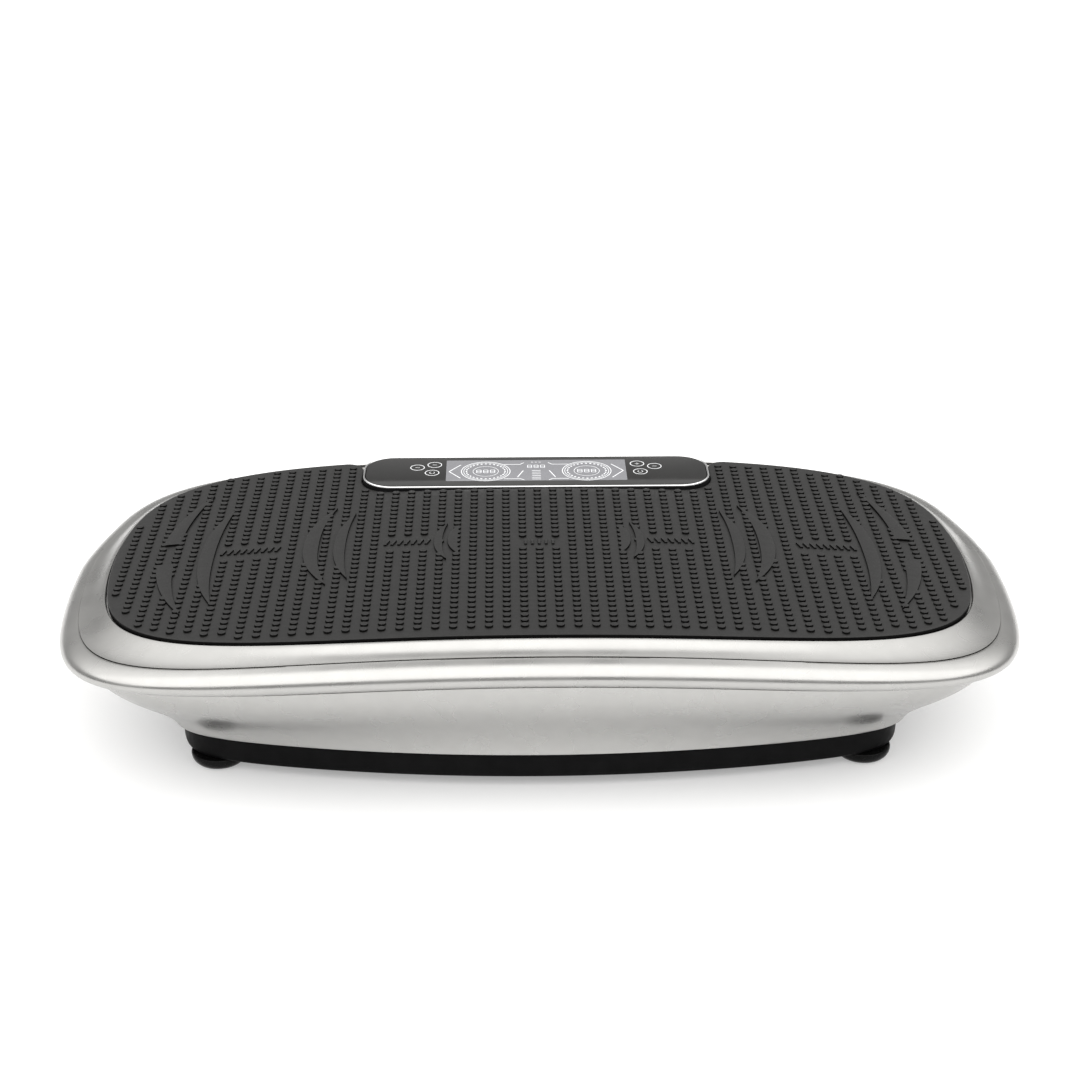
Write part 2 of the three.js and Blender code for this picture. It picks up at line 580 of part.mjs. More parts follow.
// A box in the panel's own frame: y runs outwards, z up the slope.
function panelBox(x, z, [from, to], width, height) {
  return solid(new THREE.BoxGeometry(width, to - from, height).translate(x, (from + to) / 2, z));
}

function buildInlet() {
  const group = new THREE.Group();
  group.rotation.x = THREE.MathUtils.degToRad(-INLET_TILT);
  group.position.set(0, INLET.y, INLET.z);
  plateModel.add(group);

  const face = INLET.thick / 2;
  const behind = -40;
  const panel = panelBox(0, 0, [-face, face], INLET.width, INLET.height)
    .subtract(panelBox(SOCKET.x, 0, [behind, 10], SOCKET.width + 2 * GAP, SOCKET.height + 2 * GAP))
    .subtract(panelBox(ROCKER.x, 0, [behind, 10], ROCKER.width + 2 * GAP, ROCKER.height + 2 * GAP));
  add('inlet_panel', panel, FINISH.blackPlastic, group);

  const front = face + 1;
  const socketZ = 6;
  const cavity = { width: 24, height: 16.4, depth: 17.5 };
  const drawer = { z: -10.4, width: 24, height: 8, depth: 20 };
  const bodySpan = [front - SOCKET.depth, front];
  const body = panelBox(SOCKET.x, 0, bodySpan, SOCKET.width, SOCKET.height)
    .subtract(panelBox(SOCKET.x, socketZ, [front - cavity.depth, front + 1], cavity.width, cavity.height))
    .subtract(panelBox(SOCKET.x, drawer.z, [front - drawer.depth - 1, front + 1], drawer.width + 0.6,
      drawer.height + 0.6));
  add('inlet_body', body, FINISH.blackPlastic, group);
  const pins = [['live', -7, -2], ['neutral', 7, -2], ['earth', 0, 2.4]];
  for (const [name, dx, dz] of pins) {
    const pin = panelBox(SOCKET.x + dx, socketZ + dz, [front - cavity.depth + GAP, front - 2.5], 2, 4);
    add(`inlet_pin_${name}`, pin, FINISH.brass, group);
  }
  const drawerSpan = [front - drawer.depth, front + 0.6];
  const drawerBody = panelBox(SOCKET.x, drawer.z, drawerSpan, drawer.width, drawer.height)
    .add(panelBox(SOCKET.x, drawer.z, [front, front + 2], 10, 3))
    .subtract(panelBox(SOCKET.x, drawer.z + 2, [front - 15, front - 3], 21, 6));
  add('fuse_drawer', drawerBody, FINISH.blackPlastic, group);
  const fuse = new THREE.CylinderGeometry(2, 2, 20, 10).rotateZ(Math.PI / 2);
  add('fuse_link', solid(fuse.translate(SOCKET.x, front - 9, drawer.z + 1.4)), FINISH.brass, group);

  const frame = panelBox(ROCKER.x, 0, [front - ROCKER.depth, front], ROCKER.width, ROCKER.height)
    .subtract(panelBox(ROCKER.x, 0, [front - 11, front + 1], ROCKER.width - 3, ROCKER.height - 3));
  add('switch_body', frame, FINISH.blackPlastic, group);
  const throwDeg = 8;
  const half = { width: (ROCKER.width - 4.2) / 2, height: (ROCKER.height - 4.6) / 2 };
  const outline = new THREE.Shape();
  outline.moveTo(-half.height, -3);
  outline.lineTo(half.height, -3);
  outline.lineTo(half.height, 2.2);
  outline.quadraticCurveTo(0, 0.2, -half.height, 2.2);
  const settings = { depth: 2 * half.width, bevelEnabled: false, curveSegments: 6 };
  const rocker = new THREE.ExtrudeGeometry(outline, settings);
  rocker.translate(0, 0, -half.width).rotateY(Math.PI / 2);
  rocker.rotateX(THREE.MathUtils.degToRad(throwDeg)).translate(ROCKER.x, front - 1.5, 0);
  add('power_rocker', solid(rocker), FINISH.red, group);
}

function buildMainsLead() {
  add('mains_lead', tube([[22, 132, 74], [30, 126, 82], [60, 122, 87], [110, 108, 84], [150, 74, 86],
    [172, -4, 88], [176, -8, 88]], 3, 20), FINISH.blackPlastic);
}

buildUpperBody();
buildConsole();
buildDeckFrame();
buildBase();
buildPivots();
buildMotor();
buildDrive();
buildElectronics();
buildInlet();
buildMainsLead();

export default plateModel;
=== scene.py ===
"""The looks of a slim vibration plate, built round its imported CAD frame.

Metres, +Z up, +Y towards the console at the rear; the origin is on the floor under the centre. Lengths are
written in millimetres and multiplied by MM.
"""
import json
import math

import bmesh
import bpy
import numpy as np
from mathutils import Matrix, Vector


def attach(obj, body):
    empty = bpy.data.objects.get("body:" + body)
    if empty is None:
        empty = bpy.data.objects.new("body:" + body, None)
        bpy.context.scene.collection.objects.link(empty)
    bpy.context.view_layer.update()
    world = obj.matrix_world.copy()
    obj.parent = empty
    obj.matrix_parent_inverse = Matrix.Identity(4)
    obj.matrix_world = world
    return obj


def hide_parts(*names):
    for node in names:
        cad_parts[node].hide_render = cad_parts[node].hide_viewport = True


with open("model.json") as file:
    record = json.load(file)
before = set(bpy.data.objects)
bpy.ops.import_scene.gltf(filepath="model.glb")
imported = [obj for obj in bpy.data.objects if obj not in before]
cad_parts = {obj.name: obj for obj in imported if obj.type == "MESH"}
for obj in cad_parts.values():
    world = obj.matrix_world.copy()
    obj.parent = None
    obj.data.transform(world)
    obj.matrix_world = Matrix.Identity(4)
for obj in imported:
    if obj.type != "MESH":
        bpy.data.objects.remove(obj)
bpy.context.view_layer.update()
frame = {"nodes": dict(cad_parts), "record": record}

MM = 0.001

# ---- driving dimensions, the same as the CAD source's, in mm ----
DECK_TOP = 121
CROWN_RADIUS = 2900
WALL = 2.8
GAP = 0.3
MAT_THICKNESS = 4.5
GLUE = 0.8
FOOT_HEIGHT = 9
TUCK = 0.022
TUCK_REACH = (20, 110)  # y where the rear corners' tuck starts and where it is whole
LIP_RISE = 2.8  # how far the rim's lip stands above the panel under the mat
PAN_FLOOR = 3
PANEL_Z = DECK_TOP - MAT_THICKNESS - GLUE
CONSOLE = {"half_width": 132, "front": 97.5, "rear": 156, "top": 121.8, "corner": 22}
TRIM = {"lap": 1.6, "depth": 8}
NOTCH = {"gap": 2.2, "flare": 14}
INLET = {"width": 96, "height": 42, "y": 161.5, "z": 62, "tilt": 20}
FOOT = {"x": 224.5, "y": 99, "radius": 19.5, "stud": 3}
SIDES = 384  # points round a lofted body
WELD_DISTANCE = 1e-6  # metres


# ---- the body's lines ----
# half width, half depth, z, squareness, bow of the ends, bow of the front, share of the crown, centre's y,
# and the share of its width that the line's rear corners lose
def line(half_width, half_depth, z, square, side_bow, front_bow, crown=1.0, centre=0.0, tuck=0.0):
    return np.array([half_width, half_depth, z, square, side_bow, front_bow, crown, centre, tuck], float)


MAT_EDGE = line(307, 152.5, DECK_TOP, 5.2, 0.10, 0, 1, 3.5)
SEAM_UPPER = line(325, 165.5, 112.8, 5.7, 0.085, -0.03, tuck=TUCK)
BAND_TOP = line(340, 182, 110.3, 5.7, 0.07, -0.01, tuck=TUCK)
BAND_LOW = line(343, 184.5, 98, 5.7, 0.07, 0, tuck=TUCK)
SEAM_LOWER = line(325, 175, 95.4, 5.2, 0.09, 0, tuck=TUCK)
SHOULDER = line(322, 172, 66, 4.6, 0.07, 0.04, 0.8)
WAIST = line(278, 152, 57, 6.5, 0.05, 0.16, 0.5)
HEM = line(266, 151, 30.5, 14, 0.06, 0.21, 0)
PAN_RIM = line(259, 145, 42, 14, 0.055, 0.21, 0)


def moved(source, inset=0.0, z=None, lower=0.0):
    """A line drawn in by inset, at height z, or lower than it was."""
    copy = source.copy()
    copy[0] -= inset
    copy[1] -= inset
    copy[2] = (source[2] if z is None else z) - lower
    return copy


def scaled(source, factor, z):
    copy = source.copy()
    copy[0] *= factor
    copy[1] *= factor
    copy[2] = z
    return copy


def blended(controls, steps):
    """A Bezier curve whose control points are whole lines."""
    curve = []
    for t in np.linspace(0, 1, steps + 1):
        level = list(controls)
        while len(level) > 1:
            level = [a + (b - a) * t for a, b in zip(level, level[1:])]
        curve.append(level[0])
    return curve


def walled(lines, wall):
    """Lines offset inwards by wall mm, square to the run of a section that is drawn from the top down."""
    inner = []
    for k, source in enumerate(lines):
        before, after = lines[max(k - 1, 0)], lines[min(k + 1, len(lines) - 1)]
        run = np.array([after[0] - before[0], after[2] - before[2]])
        run /= np.linalg.norm(run)
        inner.append(moved(source, inset=-wall * run[1], lower=wall * run[0]))
    return inner


def crown_drop(x):
    return x * x / (2 * CROWN_RADIUS)


def on_line(source, angles):
    """Points of a line at these angles, in mm."""
    half_width, half_depth, z, square, side_bow, front_bow, crown, centre, tuck = source
    c, s = np.cos(angles), np.sin(angles)
    reach = (np.abs(c) ** square + np.abs(s) ** square) ** (-1 / square)
    u, v = reach * c, reach * s
    y = centre + half_depth * v * (1 - front_bow * u * u)
    behind = np.clip((y - TUCK_REACH[0]) / (TUCK_REACH[1] - TUCK_REACH[0]), 0, 1)
    x = half_width * u * (1 - side_bow * v * v) * (1 - tuck * behind * behind * (3 - 2 * behind))
    return np.stack([x, y, z - crown * crown_drop(x)], axis=1)


def even_angles(source, count):
    """Angles that space a line's points evenly along it."""
    dense = np.linspace(0, 2 * math.pi, 8 * count + 1)
    points = on_line(source, dense)[:, :2]
    walked = np.concatenate([[0], np.cumsum(np.linalg.norm(np.diff(points, axis=0), axis=1))])
    return np.interp(np.linspace(0, walked[-1], count, endpoint=False), walked, dense)


ANGLES = even_angles(BAND_LOW, SIDES)


# ---- meshes ----
def mesh_object(name, vertices, faces, material, smooth_deg=35):
    """A mesh from points in mm, its faces turned outwards, smooth but for edges sharper than smooth_deg."""
    mesh = bpy.data.meshes.new(name)
    mesh.from_pydata([tuple(v) for v in np.asarray(vertices, float) * MM], [], faces)
    obj = bpy.data.objects.new(name, mesh)
    bpy.context.scene.collection.objects.link(obj)
    tidy_mesh(obj, smooth_deg)
    mesh.materials.append(material)
    return obj


def tidy_mesh(obj, smooth_deg=35):
    """Welds obj's mesh, turns its faces outwards and smooths it."""
    work = bmesh.new()
    work.from_mesh(obj.data)
    bmesh.ops.remove_doubles(work, verts=work.verts, dist=WELD_DISTANCE)
    bmesh.ops.recalc_face_normals(work, faces=work.faces)
    work.to_mesh(obj.data)
    work.free()
    obj.data.shade_smooth()
    obj.data.set_sharp_from_angle(angle=math.radians(smooth_deg))


def skin(rings, closed=False, caps=True):
    """Vertices and faces through rings of equal count. Closed joins the last ring to the first."""
    count = len(rings[0])
    vertices = np.concatenate(rings)
    faces = []
    pairs = len(rings) if closed else len(rings) - 1
    for k in range(pairs):
        a, b = k * count, (k + 1) % len(rings) * count
        for i in range(count):
            j = (i + 1) % count
            faces.append((a + i, a + j, b + j, b + i))
    if caps and not closed:
        faces.append(tuple(range(count))[::-1])
        last = (len(rings) - 1) * count
        faces.append(tuple(range(last, last + count)))
    return vertices, faces


def lofted(name, lines, material, closed=False):
    """A body lofted through lines: a closed section, or one capped at both ends."""
    rings = [on_line(each, ANGLES) for each in lines]
    vertices, faces = skin(rings, closed)
    return mesh_object(name, vertices, faces, material)


def joined(parts):
    """Vertices and faces of several (vertices, faces) pairs as one."""
    vertices, faces, offset = [], [], 0
    for points, polygons in parts:
        vertices.append(np.asarray(points, float))
        faces += [tuple(i + offset for i in polygon) for polygon in polygons]
        offset += len(points)
    return np.concatenate(vertices), faces


def turned(profile, sides, centre=(0, 0)):
    """A closed round body from a profile of (radius, height) that starts and ends on the axis."""
    angles = np.linspace(0, 2 * math.pi, sides, endpoint=False)
    rings = []
    for radius, height in profile[1:-1]:
        ring = [(radius * math.cos(a) + centre[0], radius * math.sin(a) + centre[1], height) for a in angles]
        rings.append(np.array(ring))
    vertices, faces = skin(rings, caps=False)
    ends = [(centre[0], centre[1], profile[0][1]), (centre[0], centre[1], profile[-1][1])]
    vertices = np.concatenate([vertices, ends])
    first, last, top = len(vertices) - 2, len(vertices) - 1, (len(rings) - 1) * sides
    for i in range(sides):
        j = (i + 1) % sides
        faces.append((first, j, i))
        faces.append((last, top + i, top + j))
    return vertices, faces


def cut(obj, cutter):
    """Takes the cutter's shape out of obj, and removes the cutter."""
    modifier = obj.modifiers.new("cut", "BOOLEAN")
    modifier.operation = "DIFFERENCE"
    modifier.solver = "EXACT"
    modifier.object = cutter
    evaluated = obj.evaluated_get(bpy.context.evaluated_depsgraph_get())
    mesh = bpy.data.meshes.new_from_object(evaluated)
    obj.modifiers.clear()
    obj.data = mesh
    tidy_mesh(obj)
    bpy.data.objects.remove(cutter)


# ---- plan outlines ----
def rounded_rectangle(left, front, right, rear, radius, per_corner=12):
    """Counter-clockwise points of a rectangle with round corners."""
    corners = [(right, front, -1), (right, rear, 0), (left, rear, 1), (left, front, 2)]
    points = []
    for x, y, quarter in corners:
        cx = x - radius if x == right else x + radius
        cy = y - radius if y == rear else y + radius
        for t in np.linspace(0, 1, per_corner + 1):
            a = (quarter + t) * math.pi / 2
            points.append((cx + radius * math.cos(a), cy + radius * math.sin(a)))
    return np.array(points)


def console_outline(grow):
    side, front, rear = CONSOLE["half_width"] + grow, CONSOLE["front"] - grow, CONSOLE["rear"] + grow
    return rounded_rectangle(-side, front, side, rear, CONSOLE["corner"] + grow)


def at_height(outline, z):
    return np.column_stack([outline, np.full(len(outline), float(z))])


def swept(levels, closed=False):
    """A body through (outline, z) levels whose outlines have equal counts."""
    return skin([at_height(outline, z) for outline, z in levels], closed)


def arc(centre, radius, start_deg, end_deg, count):
    angles = np.radians(np.linspace(start_deg, end_deg, count))
    return np.column_stack([centre[0] + radius * np.cos(angles), centre[1] + radius * np.sin(angles)])


def resampled(outline, step):
    """A closed outline with its points about step apart."""
    loop = np.concatenate([outline, outline[:1]])
    walked = np.concatenate([[0], np.cumsum(np.linalg.norm(np.diff(loop, axis=0), axis=1))])
    count = int(walked[-1] / step)
    places = np.linspace(0, walked[-1], count, endpoint=False)
    return np.column_stack([np.interp(places, walked, loop[:, k]) for k in (0, 1)])


def drawn_in(outline, amount):
    """A counter-clockwise outline moved inwards by amount."""
    ahead = np.roll(outline, -1, axis=0) - np.roll(outline, 1, axis=0)
    ahead /= np.linalg.norm(ahead, axis=1)[:, None]
    return outline + amount * np.column_stack([-ahead[:, 1], ahead[:, 0]])


# ---- materials ----
def new_material(name, colour, roughness, metallic=0.0, shine=0.5):
    """A Principled material. Shine is its dielectric specular level, 0.5 for a plain plastic."""
    material = bpy.data.materials.new(name)
    material.use_nodes = True
    shader = material.node_tree.nodes["Principled BSDF"]
    shader.inputs["Specular IOR Level"].default_value = shine
    shader.inputs["Base Color"].default_value = (*colour, 1)
    shader.inputs["Roughness"].default_value = roughness
    shader.inputs["Metallic"].default_value = metallic
    return material


def noise(material, scale, detail=2.0, stretch=(1, 1, 1)):
    """A noise texture's factor output. The scale is in waves per metre."""
    tree = material.node_tree
    coordinates = tree.nodes.new("ShaderNodeTexCoord")
    mapping = tree.nodes.new("ShaderNodeMapping")
    mapping.inputs["Scale"].default_value = stretch
    texture = tree.nodes.new("ShaderNodeTexNoise")
    texture.inputs["Scale"].default_value = scale
    texture.inputs["Detail"].default_value = detail
    tree.links.new(coordinates.outputs["Object"], mapping.inputs["Vector"])
    tree.links.new(mapping.outputs["Vector"], texture.inputs["Vector"])
    return texture.outputs["Fac"]


def ramp(material, factor, low, high, start=0.35, end=0.65):
    """Maps a factor to a range of values, or of colours."""
    tree = material.node_tree
    node = tree.nodes.new("ShaderNodeValToRGB")
    node.color_ramp.elements[0].position = start
    node.color_ramp.elements[1].position = end
    as_colour = [c if hasattr(c, "__len__") else (c, c, c) for c in (low, high)]
    node.color_ramp.elements[0].color = (*as_colour[0], 1)
    node.color_ramp.elements[1].color = (*as_colour[1], 1)
    tree.links.new(factor, node.inputs["Fac"])
    return node.outputs["Color"]


def vary_colour(material, factor, low, high, start=0.35, end=0.65):
    shader = material.node_tree.nodes["Principled BSDF"]
    material.node_tree.links.new(ramp(material, factor, low, high, start, end), shader.inputs["Base Color"])


def vary_roughness(material, factor, low, high):
    shader = material.node_tree.nodes["Principled BSDF"]
    material.node_tree.links.new(ramp(material, factor, low, high), shader.inputs["Roughness"])


def bump(material, *layers):
    """Bump from (factor, depth in mm) layers, one on another."""
    tree = material.node_tree
    previous = None
    for factor, depth in layers:
        node = tree.nodes.new("ShaderNodeBump")
        node.inputs["Distance"].default_value = depth * MM
        tree.links.new(factor, node.inputs["Height"])
        if previous:
            tree.links.new(previous, node.inputs["Normal"])
        previous = node.outputs["Normal"]
    tree.links.new(previous, tree.nodes["Principled BSDF"].inputs["Normal"])


def silver_paint():
    material = new_material("silver_paint", (0.46, 0.456, 0.444), 0.28, 0.95)
    vary_colour(material, noise(material, 90, 2.0), (0.45, 0.446, 0.434), (0.47, 0.466, 0.454), 0.3, 0.7)
    vary_roughness(material, noise(material, 30, 2.0), 0.25, 0.31)
    bump(material, (noise(material, 60, 0.0), 0.004))
    return material


def mat_rubber():
    material = new_material("mat_rubber", (0.006, 0.0056, 0.0053), 0.48, shine=0.4)
    material.node_tree.nodes["Principled BSDF"].inputs["Sheen Weight"].default_value = 0.05
    worn = noise(material, 60, 5.0)
    vary_colour(material, worn, (0.005, 0.0047, 0.0045), (0.008, 0.0075, 0.007), 0.25, 0.75)
    vary_roughness(material, noise(material, 240, 3.0), 0.44, 0.54)
    bump(material, (noise(material, 1800, 3.0), 0.05), (noise(material, 260, 2.0), 0.03))
    return material


def mat_shaded_side_rubber():
    """The steep sides of the mat's studs and edges: smooth black rubber, where the tread is grained, and
    painted darker than the tread as painted shade on the walls.
    """
    material = new_material("mat_shaded_side_rubber", (0.002, 0.0019, 0.0018), 0.6, shine=0.08)
    vary_colour(material, noise(material, 300, 2.0), (0.0015, 0.0014, 0.0014), (0.003, 0.0028, 0.0027))
    vary_roughness(material, noise(material, 200, 2.0), 0.55, 0.68)
    bump(material, (noise(material, 900, 2.0), 0.02))
    return material


def moulded_plastic(name, colour, roughness, grain=0.03, shine=0.5):
    """Textured moulded plastic: a fine spark-eroded grain."""
    material = new_material(name, colour, roughness, shine=shine)
    light = tuple(c * 1.35 + 0.0005 for c in colour)
    vary_colour(material, noise(material, 80, 4.0), colour, light)
    vary_roughness(material, noise(material, 300, 2.0), roughness - 0.05, roughness + 0.06)
    bump(material, (noise(material, 1500, 2.0), grain))
    return material


def moulded_rubber(name, colour, roughness, shine=0.5):
    material = new_material(name, colour, roughness, shine=shine)
    light = tuple(c * 1.6 + 0.001 for c in colour)
    vary_colour(material, noise(material, 120, 4.0), colour, light)
    vary_roughness(material, noise(material, 350, 3.0), roughness - 0.06, roughness + 0.08)
    bump(material, (noise(material, 700, 3.0), 0.03))
    return material


def bare_metal(name, colour, roughness, stretch=(1, 1, 1), scale=500):
    """Machined or drawn metal, its marks stretched along one axis."""
    material = new_material(name, colour, roughness, 1.0)
    marks = noise(material, scale, 4.0, stretch)
    vary_colour(material, marks, tuple(c * 0.86 for c in colour), colour)
    vary_roughness(material, marks, roughness - 0.06, roughness + 0.1)
    bump(material, (marks, 0.01))
    return material


def painted_steel(name, colour, roughness):
    """Powder coat: an orange-peel surface."""
    material = new_material(name, colour, roughness, 0.1)
    light = tuple(c * 1.3 + 0.003 for c in colour)
    vary_colour(material, noise(material, 150, 3.0), colour, light)
    vary_roughness(material, noise(material, 200, 2.0), roughness - 0.05, roughness + 0.08)
    bump(material, (noise(material, 420, 2.0), 0.06))
    return material


def polished_lens():
    material = new_material("polished_lens", (0.010, 0.0095, 0.009), 0.08)
    vary_colour(material, noise(material, 40, 3.0), (0.008, 0.0078, 0.0075), (0.012, 0.0115, 0.011))
    vary_roughness(material, noise(material, 90, 4.0), 0.06, 0.14)
    bump(material, (noise(material, 25, 1.0), 0.004))
    return material


def display_glass():
    material = new_material("display_glass", (0.20, 0.20, 0.215), 0.18)
    shader = material.node_tree.nodes["Principled BSDF"]
    vary_colour(material, noise(material, 900, 2.0), (0.19, 0.19, 0.20), (0.22, 0.22, 0.235))
    vary_roughness(material, noise(material, 60, 2.0), 0.14, 0.24)
    shader.inputs["Emission Color"].default_value = (0.62, 0.63, 0.68, 1)
    shader.inputs["Emission Strength"].default_value = 0.06
    return material


def lit_print(name, strength):
    material = new_material(name, (0.86, 0.87, 0.88), 0.3)
    shader = material.node_tree.nodes["Principled BSDF"]
    vary_colour(material, noise(material, 700, 2.0), (0.80, 0.81, 0.83), (0.90, 0.91, 0.92))
    shader.inputs["Emission Color"].default_value = (0.95, 0.97, 1.0, 1)
    shader.inputs["Emission Strength"].default_value = strength
    return material


def circuit_board():
    """Green solder mask over tracks that show as a faint raised pattern."""
    material = new_material("circuit_board", (0.012, 0.11, 0.035), 0.35)
    tracks = noise(material, 420, 0.0, (1, 0.25, 1))
    vary_colour(material, tracks, (0.010, 0.085, 0.028), (0.02, 0.17, 0.055), 0.47, 0.53)
    vary_roughness(material, noise(material, 160, 2.0), 0.28, 0.42)
    bump(material, (tracks, 0.03))
    return material


def armature_metal():
    """Copper windings round a stack of steel laminations."""
    material = new_material("armature_metal", (0.60, 0.29, 0.14), 0.4, 1.0)
    laminations = noise(material, 1400, 0.0, (0.02, 1, 0.02))
    vary_colour(material, laminations, (0.45, 0.22, 0.11), (0.70, 0.36, 0.18))
    vary_roughness(material, laminations, 0.3, 0.5)
    bump(material, (laminations, 0.08))
    return material


def cable_sheath():
    material = new_material("cable_sheath", (0.012, 0.012, 0.013), 0.45)
    vary_colour(material, noise(material, 200, 3.0), (0.010, 0.010, 0.011), (0.02, 0.02, 0.022))
    vary_roughness(material, noise(material, 400, 2.0), 0.4, 0.55)
    bump(material, (noise(material, 1200, 2.0), 0.02))
    return material


SILVER = silver_paint()
MAT = mat_rubber()
MAT_SHADED_SIDE = mat_shaded_side_rubber()
BASE_PLASTIC = moulded_plastic("base_plastic", (0.0032, 0.0032, 0.0034), 0.45, shine=0.06)
HOUSING_PLASTIC = moulded_plastic("housing_plastic", (0.006, 0.006, 0.0062), 0.4, shine=0.25)
FOOT_RUBBER = moulded_rubber("foot_rubber", (0.0025, 0.0025, 0.0025), 0.22, shine=0.12)
BUFFER_RUBBER = moulded_rubber("buffer_rubber", (0.012, 0.012, 0.012), 0.6)
BELT_RUBBER = moulded_rubber("belt_rubber", (0.010, 0.010, 0.010), 0.55)
CHROME = bare_metal("chrome", (0.90, 0.90, 0.90), 0.12, scale=60)
LENS = polished_lens()
DISPLAY = display_glass()
PRINT = lit_print("display_print", 0.12)
KEY_PRINT = lit_print("key_print", 0.04)
FRAME_PAINT = painted_steel("frame_paint", (0.018, 0.019, 0.021), 0.45)
MOTOR_PAINT = painted_steel("motor_paint", (0.055, 0.058, 0.062), 0.4)
STEEL = bare_metal("turned_steel", (0.56, 0.57, 0.58), 0.28, (1, 0.05, 1))
CAST = bare_metal("cast_aluminium", (0.60, 0.61, 0.62), 0.42, scale=700)
BRASS = bare_metal("contact_brass", (0.78, 0.60, 0.30), 0.22, scale=600)
BOARD = circuit_board()
ARMATURE = armature_metal()
WIRING = cable_sheath()
ROCKER_RED = moulded_plastic("rocker_red", (0.33, 0.012, 0.012), 0.3, 0.005)


def show(obj, body, slot, *nodes):
    """Lets a finished piece ride and stand for CAD nodes. Its slot is not used."""
    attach(obj, body)
    if nodes:
        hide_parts(*nodes)
    return obj


# ---- silver body ----
# The rim runs outwards from a groove round the mat: lip, crest, dip, and the seam with its edge rolled over.
LIP_OUT = 1.8  # outside the mat's edge
CREST_OUT = 4.5
DIP_IN = 8  # inside the upper seam
CREST_DROP = 0.4  # of the crest below the lip, and of the seam below the dip
FLANGE_IN = 4  # the rim's flange, hidden behind the band, inside the upper seam
LEDGE_IN = 13  # the skirt's ledge, hidden under the band, inside the lower seam
INNER_RINGS = (0.34, 0.67)  # rings on the flat of the rim's panel, as shares of the mat's edge
# The fine groove between the band and the skirt: how far each of its lines is drawn in, and how much lower.
SKIRT_GROOVE = [(2.2, -0.05), (1.9, 0.3), (0.6, 0.5), (0.15, 0.65)]
INLET_FIT = 0.4
CUT_REACH = 20


def rolled_edge(source, radius, inward, steps=4):
    """Lines that roll a moulding's edge over downwards, and then run inwards."""
    roll = []
    for t in np.linspace(0, math.pi / 2, steps + 1)[1:]:
        roll.append(moved(source, inset=radius * (1 - math.cos(t)), lower=radius * math.sin(t)))
    roll.append(moved(source, inset=inward, lower=radius))
    return roll


def make_rim():
    """The moulding round the mat in one piece with the panel under the mat, open where the console sits."""
    lip = moved(MAT_EDGE, -LIP_OUT, PANEL_Z + LIP_RISE)
    crest = moved(MAT_EDGE, -CREST_OUT, lip[2] - CREST_DROP)
    dip = moved(SEAM_UPPER, DIP_IN, lower=-CREST_DROP)
    slope = blended([lip, crest, dip, SEAM_UPPER], 24)
    panel = [scaled(MAT_EDGE, share, PANEL_Z) for share in (*INNER_RINGS, 0.93)]
    panel.append(moved(MAT_EDGE, -0.6, PANEL_Z))
    lip_side = [(1.0, 0.3), (1.2, LIP_RISE - 0.7), (1.35, LIP_RISE - 0.25)]
    groove = [moved(MAT_EDGE, -out, PANEL_Z + rise) for out, rise in lip_side]
    rolled = rolled_edge(slope[-1], 0.5, 3.0)
    flange_end = SEAM_LOWER[2] + GAP
    flange = [moved(SEAM_UPPER, FLANGE_IN, flange_end), moved(SEAM_UPPER, FLANGE_IN + WALL, flange_end)]
    flange.append(moved(SEAM_UPPER, FLANGE_IN + WALL, PANEL_Z - 2.5 * WALL))
    under = [scaled(MAT_EDGE, share, PANEL_Z - WALL) for share in (1.0, *INNER_RINGS[::-1])]
    rim = lofted("rim_moulding", [*panel, *groove, *slope, *rolled, *flange, *under], SILVER)
    levels = [(console_outline(TRIM["lap"] + 0.4), z) for z in (95, 140)]
    cutter = mesh_object("console_cutter", *swept(levels), SILVER)
    cut(rim, cutter)
    show(rim, "deck", "silver_shell", "top_shell")


def make_band():
    """The rounded bumper between the two seams, a wall with its ends turned in."""
    top = moved(SEAM_UPPER, -0.6, SEAM_UPPER[2] - 0.5)
    outer = blended([top, BAND_TOP, BAND_LOW, SEAM_LOWER], 36)
    inner = walled(outer, WALL)[4:-3][::-1]
    root = [moved(top, 0.6, lower=0.3), moved(top, 0.9, lower=2 * WALL)]
    foot = [moved(SEAM_LOWER, 0.5, lower=0.05), moved(SEAM_LOWER, WALL)]
    band = lofted("bumper_band", [*outer, *foot, *inner, *root[::-1]], SILVER, closed=True)
    show(band, "deck", "silver_shell", "side_band")


def panel_points(points):
    """Points of the inlet panel's own frame, y outwards and z up its face, in the shared frame in mm."""
    turn = Matrix.Rotation(math.radians(-INLET["tilt"]), 4, "X")
    matrix = Matrix.Translation((0, INLET["y"], INLET["z"])) @ turn
    return np.array([matrix @ Vector(p) for p in points])


def make_skirt():
    """The concave wall under the band, with an opening for the inlet panel in its rear."""
    top = moved(SEAM_LOWER, 0.5, lower=GAP)
    outer = blended([moved(top, 0, lower=0.9), SHOULDER, WAIST, HEM], 40)
    inner = walled(outer, WALL)[2:][::-1]
    groove = [moved(top, inset, lower=lower) for inset, lower in SKIRT_GROOVE]
    hem = [moved(HEM, inset, lower=0.45) for inset in (0.5, WALL - 0.5)]
    ledge = [moved(top, LEDGE_IN, lower=WALL), moved(top, LEDGE_IN)]
    skirt = lofted("lower_skirt", [*groove, *outer, *hem, *inner, *ledge], SILVER, closed=True)
    half_width, half_height = INLET["width"] / 2 + INLET_FIT, INLET["height"] / 2 + INLET_FIT
    outline = rounded_rectangle(-half_width, -half_height, half_width, half_height, 3)
    rings = [panel_points([(x, y, z) for x, z in outline]) for y in (-CUT_REACH, CUT_REACH)]
    cutter = mesh_object("inlet_cutter", *skin(rings), SILVER)
    cut(skirt, cutter)
    show(skirt, "deck", "silver_shell", "skirt_shell")


